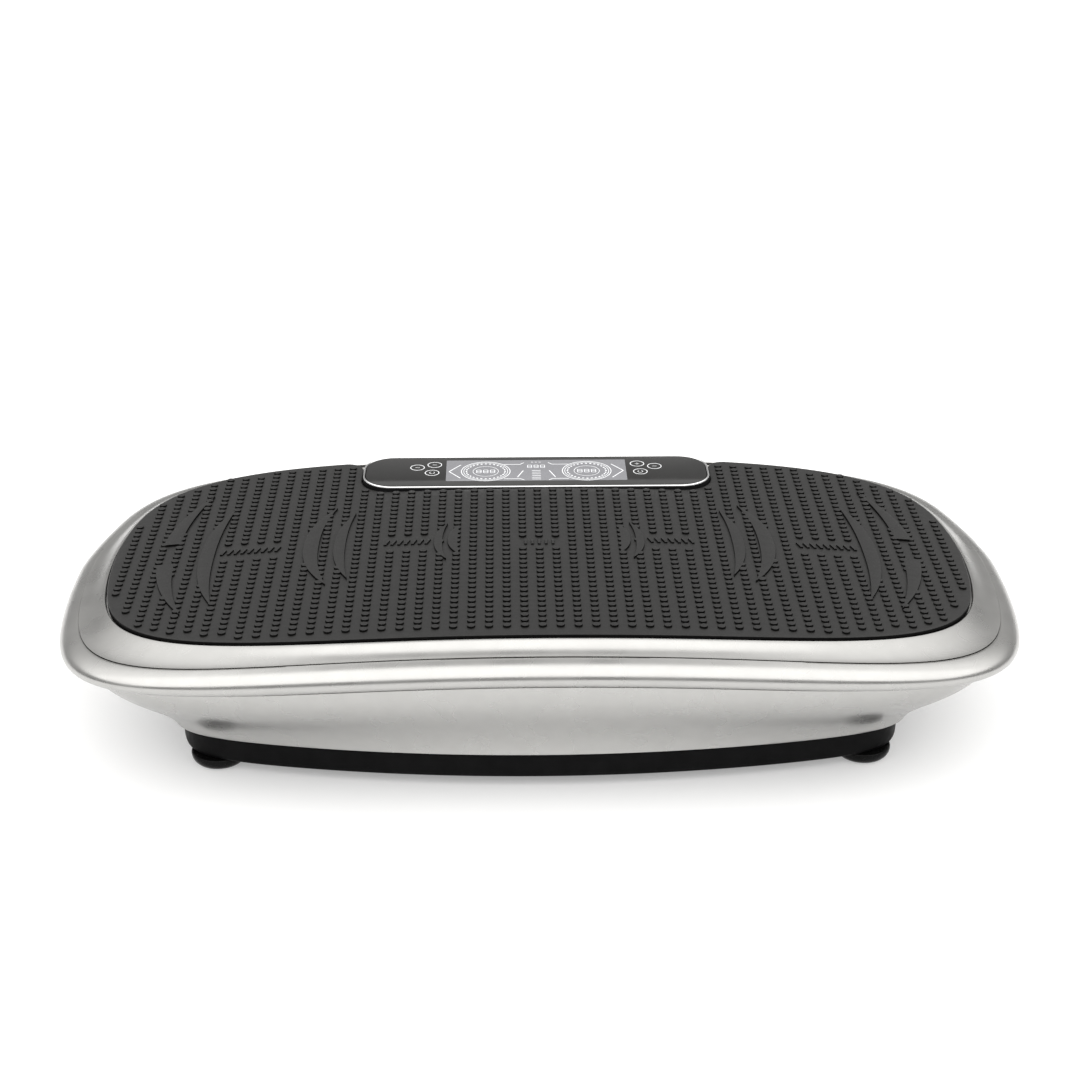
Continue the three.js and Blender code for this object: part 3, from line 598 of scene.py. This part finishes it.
# ---- mat ----
# A stud's own size, the pitch of the columns and rows with their counts each side of the middle one, the
# middle row's y, and how far inside the mat's edge the studs keep.
STUD = {"radius": 2.8, "height": 1.5, "column": 11.85, "row": 7.56, "columns": 26, "rows": 21}
STUD_MIDDLE_Y = -0.66
STUD_MARGIN = 5.2
STUD_ROOT = 0.6  # how deep a stud and a crescent start in the mat
MAT_SURFACE = DECK_TOP - 0.4  # between the studs

# Raised crescents of the right half: tip x, front y, rear y, bulge of the outer and of the inner edge.
CRESCENTS = [
    (245.5, -98, 104, 28, 15.5),
    (225.5, -88, 77, 18, 7.4),
    (149, -66, 65, 20.5, 9.4),
    (134.6, -58, 54, 13, 4.5),
    (66.2, -32, 29, 9.5, 3.4),
    (57.4, -24, 26, 8.5, 1.3),
]
OUTER_BREAK = (-14, 20)  # the outermost crescent is open between these
# Speed marks, which take the place of words: columns they cover, how many rows, number of bars.
SPEED_MARKS = [((-1, 0, 1), 2, 5), ((7, 8, 9), 3, 7), ((16, 17, 18, 19), 3, 9)]
SPEED_MARK_ROW = -1  # the front row of studs that a speed mark takes the place of
HIDDEN = 1.6  # a stud's centre this far inside a crescent is left out
STEEP = 0.6  # a face whose normal rises less than this is a side, and gets the painted shade of the darker side rubber


def mat_outline():
    """The mat's edge with the console's notch, counter-clockwise."""
    side = CONSOLE["half_width"] + NOTCH["gap"]
    front = CONSOLE["front"] - NOTCH["gap"]
    corner = CONSOLE["corner"] + NOTCH["gap"]
    flare = NOTCH["flare"]
    quadrant = np.linspace(0.2, math.pi / 2, 2000)
    xs = on_line(MAT_EDGE, quadrant)[:, 0]
    start = float(np.interp(-(side + flare), -xs, quadrant))
    edge = on_line(MAT_EDGE, np.linspace(math.pi - start, 2 * math.pi + start, 1200))[:, :2]
    flare_y = edge[-1][1] - flare
    right_flare = arc((side + flare, flare_y), flare, 90, 180, 16)
    right_corner = arc((side - corner, front + corner), corner, 0, -90, 24)
    notch_right = np.concatenate([right_flare, right_corner])
    notch_left = notch_right[::-1] * [-1, 1]
    return resampled(np.concatenate([edge, notch_right, notch_left]), 2.6)


def distance_inside(points, outline):
    """How far each point is inside a closed counter-clockwise outline, in mm, and negative outside it."""
    a, b = outline, np.roll(outline, -1, axis=0)
    ab = b - a
    ap = points[:, None, :] - a[None]
    t = np.clip((ap * ab).sum(2) / (ab * ab).sum(1), 0, 1)
    nearest = np.linalg.norm(ap - t[..., None] * ab, axis=2).min(1)
    crosses = (a[:, 1] > points[:, 1:2]) != (b[:, 1] > points[:, 1:2])
    slope = np.where(ab[:, 1] == 0, 1e-9, ab[:, 1])
    where = a[:, 0] + (points[:, 1:2] - a[:, 1]) / slope * ab[:, 0]
    inside = (crosses & (points[:, :1] < where)).sum(1) % 2 == 1
    return np.where(inside, nearest, -nearest)


def mat_slab(outline):
    """The mat without its studs: round upper edge, crowned, cut across so that it follows the crown."""
    surface, under = MAT_SURFACE, DECK_TOP - MAT_THICKNESS
    edge = [
        (0.35, under), (0, under + 0.4), (0, surface - 1.0), (0.12, surface - 0.55),
        (0.45, surface - 0.2), (0.9, surface - 0.04), (1.5, surface),
    ]
    rings = [at_height(drawn_in(outline, inset), z) for inset, z in edge]
    vertices, faces = skin(rings)
    work = bmesh.new()
    made = [work.verts.new(v) for v in vertices]
    for polygon in faces:
        work.faces.new([made[i] for i in polygon])
    for x in range(-300, 301, 12):
        geometry = work.verts[:] + work.edges[:] + work.faces[:]
        bmesh.ops.bisect_plane(work, geom=geometry, plane_co=(x, 0, 0), plane_no=(1, 0, 0))
    for vertex in work.verts:
        vertex.co.z -= crown_drop(vertex.co.x)
    work.verts.index_update()
    slab = np.array([v.co for v in work.verts]), [tuple(v.index for v in f.verts) for f in work.faces]
    work.free()
    return slab


def crescent_edges(spec, ys):
    """The x of a crescent's outer and inner edges at these y."""
    tip_x, front, rear, outer, inner = spec
    t = (ys - front) / (rear - front)
    fullness = 1 - np.abs(2 * t - 1) ** 2.3
    return tip_x + outer * fullness, tip_x + inner * fullness


def crescent(spec, front, rear, side):
    """One raised crescent, or a stretch of it, with rounded upper edges."""
    height = STUD["height"] + 0.1
    ys = front + (rear - front) * (1 - np.cos(np.linspace(0, math.pi, 60))) / 2
    outer, inner = crescent_edges(spec, ys)
    width = np.maximum(outer - inner, 0.05)
    across = [(0, -STUD_ROOT), (0, height * 0.7), (0.12, height * 0.93), (0.4, height)]
    rows = []
    for inset, z in across:
        rows.append((outer - np.minimum(inset, width * 0.4), z))
    for inset, z in across[::-1]:
        rows.append((inner + np.minimum(inset, width * 0.4), z))
    rings = []
    for i, y in enumerate(ys):
        xs = np.array([row[0][i] for row in rows])
        zs = MAT_SURFACE + np.array([row[1] for row in rows]) - crown_drop(xs)
        rings.append(np.column_stack([side * xs, np.full(len(xs), y), zs]))
    return skin(rings)


def mat_crescents():
    parts = []
    for side in (-1, 1):
        for k, spec in enumerate(CRESCENTS):
            stretches = [(spec[1], spec[2])]
            if k == 0:
                stretches = [(spec[1], OUTER_BREAK[0]), (OUTER_BREAK[1], spec[2])]
            parts += [crescent(spec, front, rear, side) for front, rear in stretches]
    return parts


def under_crescent(x, y):
    """True where a whole stud would be hidden by a crescent."""
    for k, spec in enumerate(CRESCENTS):
        if not spec[1] < y < spec[2] or (k == 0 and OUTER_BREAK[0] < y < OUTER_BREAK[1]):
            continue
        outer, inner = crescent_edges(spec, np.array([float(y)]))
        if inner[0] + HIDDEN < abs(x) < outer[0] - HIDDEN:
            return True
    return False


def in_speed_mark(column, row):
    for columns, rows, _ in SPEED_MARKS:
        if abs(column) in columns and SPEED_MARK_ROW <= row < SPEED_MARK_ROW + rows:
            return True
    return False


def mat_studs(outline):
    """A stud at each place of the grid that is clear of the edge, the crescents and the speed marks."""
    places = []
    for column in range(-STUD["columns"], STUD["columns"] + 1):
        for row in range(-STUD["rows"], STUD["rows"] + 1):
            x, y = column * STUD["column"], STUD_MIDDLE_Y + row * STUD["row"]
            if not in_speed_mark(column, row) and not under_crescent(x, y):
                places.append((x, y))
    places = np.array(places)
    places = places[distance_inside(places, outline) > STUD_MARGIN]
    radius, height = STUD["radius"], STUD["height"]
    profile = [
        (0, -STUD_ROOT), (radius, -STUD_ROOT), (radius - 0.05, height * 0.62), (radius - 0.2, height * 0.9),
        (radius - 0.5, height), (0, height + 0.03),
    ]
    vertices, faces = turned(profile, 14)
    studs = []
    for x, y in places:
        studs.append((vertices + [x, y, MAT_SURFACE - crown_drop(x)], faces))
    return studs


def raised_stroke(x, y, lean, width, depth, height):
    """A small raised stroke whose rear end is lean mm to the right of its front end."""
    half = np.array([[lean / 2, depth / 2]])
    corners = np.array([[-width / 2, 0], [width / 2, 0]])
    outline = np.concatenate([corners - half, corners[::-1] + half]) + [x, y]
    base = MAT_SURFACE - crown_drop(x)
    inner = [x, y] + (outline - [x, y]) * 0.86
    return swept([(outline, base - 0.5), (outline, base + height * 0.75), (inner, base + height)])


def mat_speed_marks():
    """Rows of short strokes, more of them towards the ends, where the plate's stroke is longer."""
    pitch, width, depth, height, lean = 4.9, 2.0, 7.0, 1.3, 2.4
    strokes = []
    for side in (-1, 1):
        for columns, rows, count in SPEED_MARKS:
            middle = 0 if 0 in columns else side * STUD["column"] * (columns[0] + columns[-1]) / 2
            if middle == 0 and side > 0:
                continue
            y = STUD_MIDDLE_Y + STUD["row"] * (SPEED_MARK_ROW + (rows - 1) / 2)
            for k in range(count):
                x = middle + (k - (count - 1) / 2) * pitch
                strokes.append(raised_stroke(x, y, -lean * side if middle else 0, width, depth, height))
    return strokes


def make_mat():
    outline = mat_outline()
    parts = [mat_slab(outline), *mat_crescents(), *mat_speed_marks(), *mat_studs(outline)]
    mat = mesh_object("studded_mat", *joined(parts), MAT, 40)
    mat.data.materials.append(MAT_SHADED_SIDE)
    # Steep faces take the side rubber, whose darker colour is painted shade on the walls of the studs,
    # crescents and edges.
    for polygon in mat.data.polygons:
        polygon.material_index = 1 if abs(polygon.normal.z) < STEEP else 0
    show(mat, "deck", "mat", "foot_mat")


# ---- console ----
LENS_TOP = CONSOLE["top"] - 0.2
PRINT_Z = LENS_TOP + 0.05
PRINT_THICK = 0.08
SCREEN = {"half_width": 69.5, "front": 107.5, "rear": 148.5}
# A dial's place on the right, the radii of its two outer rings, its ring of blocks and its inner ring.
DIAL = {"x": 39, "y": 126, "rings": ((18.8, 0.55), (17.0, 0.4)), "blocks": 14.9, "count": 28, "inner": 9.8}
# Strokes of the display's right half, mirrored on its left: start, end, width.
STROKES = [
    ((67.3, 126), (58.4, 112.8), 0.7),
    ((67.3, 126), (58.4, 139.2), 0.7),
    ((14.6, 114), (10.1, 127), 0.7),
    ((25, 139.6), (12.5, 139.6), 0.6),
    ((12.5, 139.6), (9.5, 143), 0.6),
    ((25, 111), (12.5, 111), 0.6),
    ((12.5, 111), (9.5, 108.6), 0.6),
]
LADDER = {"half_width": 3.4, "y": 110.2, "pitch": 3.4, "bars": 6}  # between the dials
KEYS = [(91.9, 134.6), (78.7, 139.8), (80.4, 124)]  # centres of the right half's keys
KEY = {"radius": 5.3, "line": 0.6, "mark": 1.7, "mark_line": 0.4}


def console_levels(levels, down_from):
    """Outlines of the console from (how far outside its edge, how far below a height) pairs."""
    return [(console_outline(grow), down_from - below) for grow, below in levels]


def make_console():
    """The chrome bead round the console, the tray under it, the lens, and the prints on it."""
    top = CONSOLE["top"]
    levels = [
        (0.1, 1.6), (1.0, 1.6), (1.3, 1.0), (1.2, 0.5), (0.85, 0.12),
        (0.4, 0), (0.0, 0.12), (-0.3, 0.5), (-0.3, 1.2),
    ]
    bead = mesh_object("console_chrome_bead", *swept(console_levels(levels, top), closed=True), CHROME)
    show(bead, "deck", "chrome_trim", "console_trim")

    depth = TRIM["depth"]
    levels = [(-0.2, depth), (1.6, depth), (1.6, 1.3), (1.4, 1.05), (1.05, 1.5), (0.0, 1.7), (-0.2, 1.9)]
    wall = mesh_object("console_surround", *swept(console_levels(levels, top), closed=True), HOUSING_PLASTIC)
    show(wall, "deck", "base_plastic")

    levels = [(-0.9, 2.2), (-0.7, 2.0), (-0.7, 0.5), (-0.85, 0.15), (-1.3, 0)]
    lens = mesh_object("smoked_lens", *swept(console_levels(levels, LENS_TOP)), LENS)
    show(lens, "deck", "lens", "console_lens")

    side = SCREEN["half_width"]
    edge = rounded_rectangle(-side, SCREEN["front"], side, SCREEN["rear"], 0.8, 4)
    levels = [(edge, LENS_TOP - 0.1), (edge, LENS_TOP + 0.03), (drawn_in(edge, 0.1), LENS_TOP + 0.05)]
    screen = mesh_object("display_window", *swept(levels), DISPLAY)
    show(screen, "deck", "display")
    marks = mesh_object("display_marks", *joined(display_marks()), PRINT)
    show(marks, "deck", "display")
    keys = mesh_object("touch_key_prints", *joined(key_prints()), KEY_PRINT)
    show(keys, "deck", "display")


def flat_bar(start, end, width, z=PRINT_Z):
    """A thin printed stroke from one point to another."""
    start, end = np.array(start, float), np.array(end, float)
    ahead = (end - start) / np.linalg.norm(end - start)
    aside = np.array([-ahead[1], ahead[0]]) * width / 2
    outline = np.array([start - aside, end - aside, end + aside, start + aside])
    return swept([(outline, z - 0.05), (outline, z + PRINT_THICK)])


def flat_ring(centre, radius, width, z=PRINT_Z, start_deg=0.0, end_deg=360.0, steps=64):
    """A thin printed ring or a stretch of one."""
    whole = end_deg - start_deg >= 360
    angles = np.radians(np.linspace(start_deg, end_deg, steps, endpoint=not whole))
    inner, outer = radius - width / 2, radius + width / 2
    section = [(inner, -0.05), (outer, -0.05), (outer, PRINT_THICK), (inner, PRINT_THICK)]
    rings = []
    for a in angles:
        ring = [(centre[0] + r * math.cos(a), centre[1] + r * math.sin(a), z + h) for r, h in section]
        rings.append(np.array(ring))
    return skin(rings, closed=whole)


def digit_eight(centre, width, height, stroke):
    """Seven bars that make the figure of a display's unlit 8."""
    x, y = centre
    left, right = x - width / 2, x + width / 2
    gap = stroke * 0.35
    bars = []
    for level in (-1, 0, 1):
        bars.append(((left + gap, y + level * height / 2), (right - gap, y + level * height / 2)))
    for edge in (left, right):
        bars.append(((edge, y - height / 2 + gap), (edge, y - gap)))
        bars.append(((edge, y + gap), (edge, y + height / 2 - gap)))
    return [flat_bar(a, b, stroke) for a, b in bars]


def three_digits(centre, width, height, stroke, pitch):
    parts = []
    for k in (-1, 0, 1):
        parts += digit_eight((centre[0] + k * pitch, centre[1]), width, height, stroke)
    return parts


def dial(centre):
    """A round gauge: two fine rings, a ring of blocks, an inner ring, and three figures."""
    parts = [flat_ring(centre, radius, width) for radius, width in DIAL["rings"]]
    for k in range(DIAL["count"]):
        middle = 360 * k / DIAL["count"]
        parts.append(flat_ring(centre, DIAL["blocks"], 1.1, PRINT_Z, middle - 3, middle + 3, 5))
    parts.append(flat_ring(centre, DIAL["inner"], 0.35))
    parts += three_digits(centre, 3.4, 5.6, 0.5, 5.3)
    return parts


def display_marks():
    """A dial and strokes on each side of the display, and between them figures, a ladder and dots."""
    parts = []
    for side in (-1, 1):
        parts += dial((side * DIAL["x"], DIAL["y"]))
        for (x0, y0), (x1, y1), width in STROKES:
            parts.append(flat_bar((side * x0, y0), (side * x1, y1), width))
    parts += three_digits((0, 135.5), 3.2, 5.2, 0.45, 5.0)
    for k in range(LADDER["bars"]):
        y = LADDER["y"] + LADDER["pitch"] * k
        parts.append(flat_bar((-LADDER["half_width"], y), (LADDER["half_width"], y), 0.6))
    for x in (-3, 0, 3):
        parts.append(flat_bar((x - 0.8, 144), (x + 0.8, 144), 0.5))
    return parts


def key_prints():
    """Rings of the six touch keys. The marks in them are a bar, a bar or a cross, and an open ring."""
    parts = []
    mark, thin = KEY["mark"], KEY["mark_line"]
    for side in (-1, 1):
        for k, (key_x, y) in enumerate(KEYS):
            x = side * key_x
            parts.append(flat_ring((x, y), KEY["radius"], KEY["line"], LENS_TOP))
            if k == 2:
                parts.append(flat_ring((x, y), mark + 0.2, thin, LENS_TOP, 120, 420, 24))
                continue
            parts.append(flat_bar((x - mark, y), (x + mark, y), thin, LENS_TOP))
            if k == 1 and side > 0:
                for low, high in ((-mark, -thin), (thin, mark)):
                    parts.append(flat_bar((x, y + low), (x, y + high), thin, LENS_TOP))
    return parts


# ---- base ----
PAN_FOOT = {"inset": 0.8, "radius": 3, "spread": 1.7}  # the round lower edge of the pan's wall


def make_base_pan():
    """A shallow tray with a round lower edge and an open top."""
    low, inset = FOOT_HEIGHT, PAN_FOOT["inset"]
    floor = moved(PAN_RIM, 0, low)
    outside = [scaled(floor, 0.3, low), scaled(floor, 0.7, low), moved(floor, 7)]
    for t in np.linspace(0, math.pi / 2, 7):
        turned_in = inset + PAN_FOOT["spread"] * (1 - math.sin(t))
        outside.append(moved(floor, turned_in, low + PAN_FOOT["radius"] * (1 - math.cos(t))))
    inside = [moved(PAN_RIM, 0.3, lower=-0.3), moved(PAN_RIM, WALL - 0.3, lower=-0.3), moved(PAN_RIM, WALL)]
    inside += [moved(floor, inset + WALL, low + PAN_FLOOR), scaled(floor, 0.5, low + PAN_FLOOR)]
    pan = lofted("black_base_pan", [*outside, PAN_RIM, *inside], BASE_PLASTIC)
    show(pan, "base", "base_plastic", "base_pan")


def corner_places():
    return [("front_left", -1, -1), ("front_right", 1, -1), ("rear_left", -1, 1), ("rear_right", 1, 1)]


def make_feet():
    """Rubber feet with a hollow sucker under a round edge, and a stud that goes up into the pan."""
    radius, stud = FOOT["radius"], FOOT["stud"]
    neck = FOOT_HEIGHT - GAP
    sucker = [(0, 3), (4, 2.8), (radius - 9.5, 1.6), (radius - 8, 0.15), (radius - 7.4, 0), (radius - 5.4, 0)]
    dome = [
        (radius - 4.5, 0.25), (radius - 2.6, 1.2), (radius - 1.2, 2.7), (radius - 0.35, 4.4), (radius, 6.2),
    ]
    shoulder = [(radius, 7.4), (radius - 0.35, neck - 0.3), (radius - 0.9, neck), (stud, neck)]
    profile = [*sucker, *dome, *shoulder, (stud, neck + 8), (0, neck + 8)]
    for name, sx, sy in corner_places():
        vertices, faces = turned(profile, 56, (sx * FOOT["x"], sy * FOOT["y"]))
        foot = mesh_object(f"suction_foot_{name}", vertices, faces, FOOT_RUBBER, 50)
        show(foot, "base", "foot_rubber", f"foot_{name}")


SCREW = {"radius": 2, "x": (-160, -60, 60, 160), "y": 98, "head": 4.5}
BOLT_RADIUS = 3
MOUNT_Z = FOOT_HEIGHT + PAN_FLOOR + 2 * GAP + 3
# Bolts through the flanges of the brackets, the crank blocks and the motor: x, y, thickness of the flange.
BOLT_PLACES = [
    *[(sx * 24, sy * 90, 4) for sx in (-1, 1) for sy in (-1, 1)],
    *[(-110 + sx * 30, sy * 30, 6) for sx in (-1, 1) for sy in (-1, 1)],
    *[(120 + sx * 29, -18, 3) for sx in (-1, 1)],
]


def pan_screw(x, y):
    """A screw whose round head, with a socket in it, stands in from below."""
    head, shank = SCREW["head"], SCREW["radius"] - 0.1
    under = FOOT_HEIGHT - 2.5
    seat = FOOT_HEIGHT - GAP
    profile = [
        (0, under + 1.5), (1.5, under + 1.5), (1.6, under + 0.1), (1.9, under),
        (head - 1, under + 0.15), (head - 0.3, under + 0.6), (head, under + 1.3), (head, seat),
        (shank, seat), (shank, MOUNT_Z + 1.6), (shank - 0.6, MOUNT_Z + 2), (0, MOUNT_Z + 2),
    ]
    return turned(profile, 24, (x, y))


def hex_bolt(x, y, thick):
    """A hexagon bolt with its washer, seated on a flange of this thickness."""
    seat = MOUNT_Z + thick + GAP
    washer = [(0, seat), (6.3, seat), (6.4, seat + 0.3), (6.2, seat + 0.9), (0, seat + 0.9)]
    head = [
        (0, seat + 0.8), (5.4, seat + 0.8), (5.5, seat + 1.1),
        (5.5, seat + 4.1), (4.7, seat + 4.6), (0, seat + 4.6),
    ]
    radius, end = BOLT_RADIUS - 0.1, FOOT_HEIGHT + PAN_FLOOR + 0.5
    shank = [(0, end), (radius, end), (radius, seat + 0.1), (0, seat + 0.1)]
    return [turned(washer, 28, (x, y)), turned(head, 6, (x, y)), turned(shank, 16, (x, y))]


def make_fasteners():
    screws = [pan_screw(x, sy * SCREW["y"]) for x in SCREW["x"] for sy in (-1, 1)]
    show(mesh_object("base_screws", *joined(screws), STEEL), "base", "steel")
    bolts = [body for place in BOLT_PLACES for body in hex_bolt(*place)]
    show(mesh_object("mounting_bolts", *joined(bolts), STEEL), "base", "steel")


# ---- CAD nodes that stay ----
FINISHES = {
    "silver_shell": SILVER, "mat": MAT, "base_plastic": BASE_PLASTIC, "foot_rubber": FOOT_RUBBER,
    "buffer_rubber": BUFFER_RUBBER, "belt": BELT_RUBBER, "lens": LENS, "chrome_trim": CHROME,
    "display": DISPLAY, "boards": BOARD, "frame_paint": FRAME_PAINT, "motor_paint": MOTOR_PAINT,
    "steel": STEEL, "cast_blocks": CAST, "armature": ARMATURE, "contacts": BRASS, "rocker": ROCKER_RED,
    "wiring": WIRING,
}
EASED = {"over_deg": 50, "width": 0.25, "segments": 2}


def finish_cad_nodes():
    """Gives each CAD node its slot's procedural finish, and eases the edges of those that stay in view."""
    for part in frame["record"]["subparts"]:
        node = frame["nodes"][part["node"]]
        node.data.materials.clear()
        node.data.materials.append(FINISHES[part["material_slot"]])
        if node.hide_render:
            continue
        weld = node.modifiers.new("weld", "WELD")
        weld.merge_threshold = WELD_DISTANCE
        bevel = node.modifiers.new("ease", "BEVEL")
        bevel.limit_method = "ANGLE"
        bevel.angle_limit = math.radians(EASED["over_deg"])
        bevel.width = EASED["width"] * MM
        bevel.segments = EASED["segments"]


# ---- stage ----
SKY_AT_HORIZON = 0.32
SKY_OVERHEAD = 0.55
# Softboxes on an endless ceiling, by the tangent of the angle from straight up: (left, right), (front, rear).
SOFTBOXES = [
    ((-1.9, 1.9), (-1.5, 0.2), 1.75),
    ((0.3, 1.9), (0.4, 0.85), 1.2),
    ((-1.9, -0.3), (0.4, 0.85), 1.2),
    ((-1.9, 1.9), (1.05, 1.45), 0.7),
]
SOFT_EDGE = 0.2
FLOOR = {"reach": 12.0, "albedo": 0.68, "glow": 0.32}
CAMERA = {"place": (-0.0248, -1.3997, 0.7585), "from_down": 65.5, "turn": -1.04, "sensor": 36, "lens": 71.3}


def math_node(tree, operation, *inputs):
    node = tree.nodes.new("ShaderNodeMath")
    node.operation = operation
    for socket, value in zip(node.inputs, inputs):
        if isinstance(value, (int, float)):
            socket.default_value = value
        else:
            tree.links.new(value, socket)
    return node.outputs[0]


def rising(tree, value, start, end):
    """0 where value is at start, 1 where it is at end, with a soft change between."""
    node = tree.nodes.new("ShaderNodeMapRange")
    node.interpolation_type = "SMOOTHSTEP"
    node.inputs["From Min"].default_value = start
    node.inputs["From Max"].default_value = end
    tree.links.new(value, node.inputs["Value"])
    return node.outputs["Result"]


def studio_world():
    """A grey studio with a wide softbox over the plate, two behind it side by side, and one farther back."""
    world = bpy.data.worlds.new("studio")
    world.use_nodes = True
    tree = world.node_tree
    direction = tree.nodes.new("ShaderNodeTexCoord").outputs["Generated"]
    split = tree.nodes.new("ShaderNodeSeparateXYZ")
    tree.links.new(direction, split.inputs[0])
    x, y, z = split.outputs
    height = math_node(tree, "MAXIMUM", z, 0.02)
    across, along = math_node(tree, "DIVIDE", x, height), math_node(tree, "DIVIDE", y, height)
    climb = rising(tree, z, -0.1, 1.0)
    light = math_node(tree, "MULTIPLY_ADD", climb, SKY_OVERHEAD - SKY_AT_HORIZON, SKY_AT_HORIZON)
    for (left, right), (front, rear), radiance in SOFTBOXES:
        lit = rising(tree, across, left - SOFT_EDGE, left)
        other_sides = [
            (across, right + SOFT_EDGE, right),
            (along, front - SOFT_EDGE, front),
            (along, rear + SOFT_EDGE, rear),
        ]
        for value, start, end in other_sides:
            lit = math_node(tree, "MULTIPLY", lit, rising(tree, value, start, end))
        light = math_node(tree, "MULTIPLY_ADD", lit, radiance, light)
    background = tree.nodes["Background"]
    background.inputs["Color"].default_value = (1.0, 0.995, 0.985, 1)
    tree.links.new(light, background.inputs["Strength"])
    return world


def make_stage():
    """A plain pale floor that glows a little, under the studio's light."""
    reach = FLOOR["reach"]
    corners = [(-reach, -reach, 0), (reach, -reach, 0), (reach, reach, 0), (-reach, reach, 0)]
    mesh = bpy.data.meshes.new("floor")
    mesh.from_pydata(corners, [], [(0, 1, 2, 3)])
    floor = bpy.data.objects.new("floor", mesh)
    bpy.context.scene.collection.objects.link(floor)
    white = new_material("studio_floor", (FLOOR["albedo"],) * 3, 0.9)
    shader = white.node_tree.nodes["Principled BSDF"]
    shader.inputs["Emission Color"].default_value = (1, 1, 1, 1)
    shader.inputs["Emission Strength"].default_value = FLOOR["glow"]
    mesh.materials.append(white)
    bpy.context.scene.world = studio_world()
    bpy.context.scene.view_settings.view_transform = "Standard"


def make_camera():
    """A camera 24.5 degrees above the horizon, a little left of the middle."""
    camera = bpy.data.objects.new("camera", bpy.data.cameras.new("camera"))
    camera.location = CAMERA["place"]
    camera.rotation_euler = (math.radians(CAMERA["from_down"]), 0, math.radians(CAMERA["turn"]))
    camera.data.sensor_width = CAMERA["sensor"]
    camera.data.lens = CAMERA["lens"]
    bpy.context.scene.collection.objects.link(camera)
    bpy.context.scene.camera = camera


make_camera()
make_stage()
make_rim()
make_band()
make_skirt()
make_mat()
make_console()
make_base_pan()
make_feet()
make_fasteners()
finish_cad_nodes()
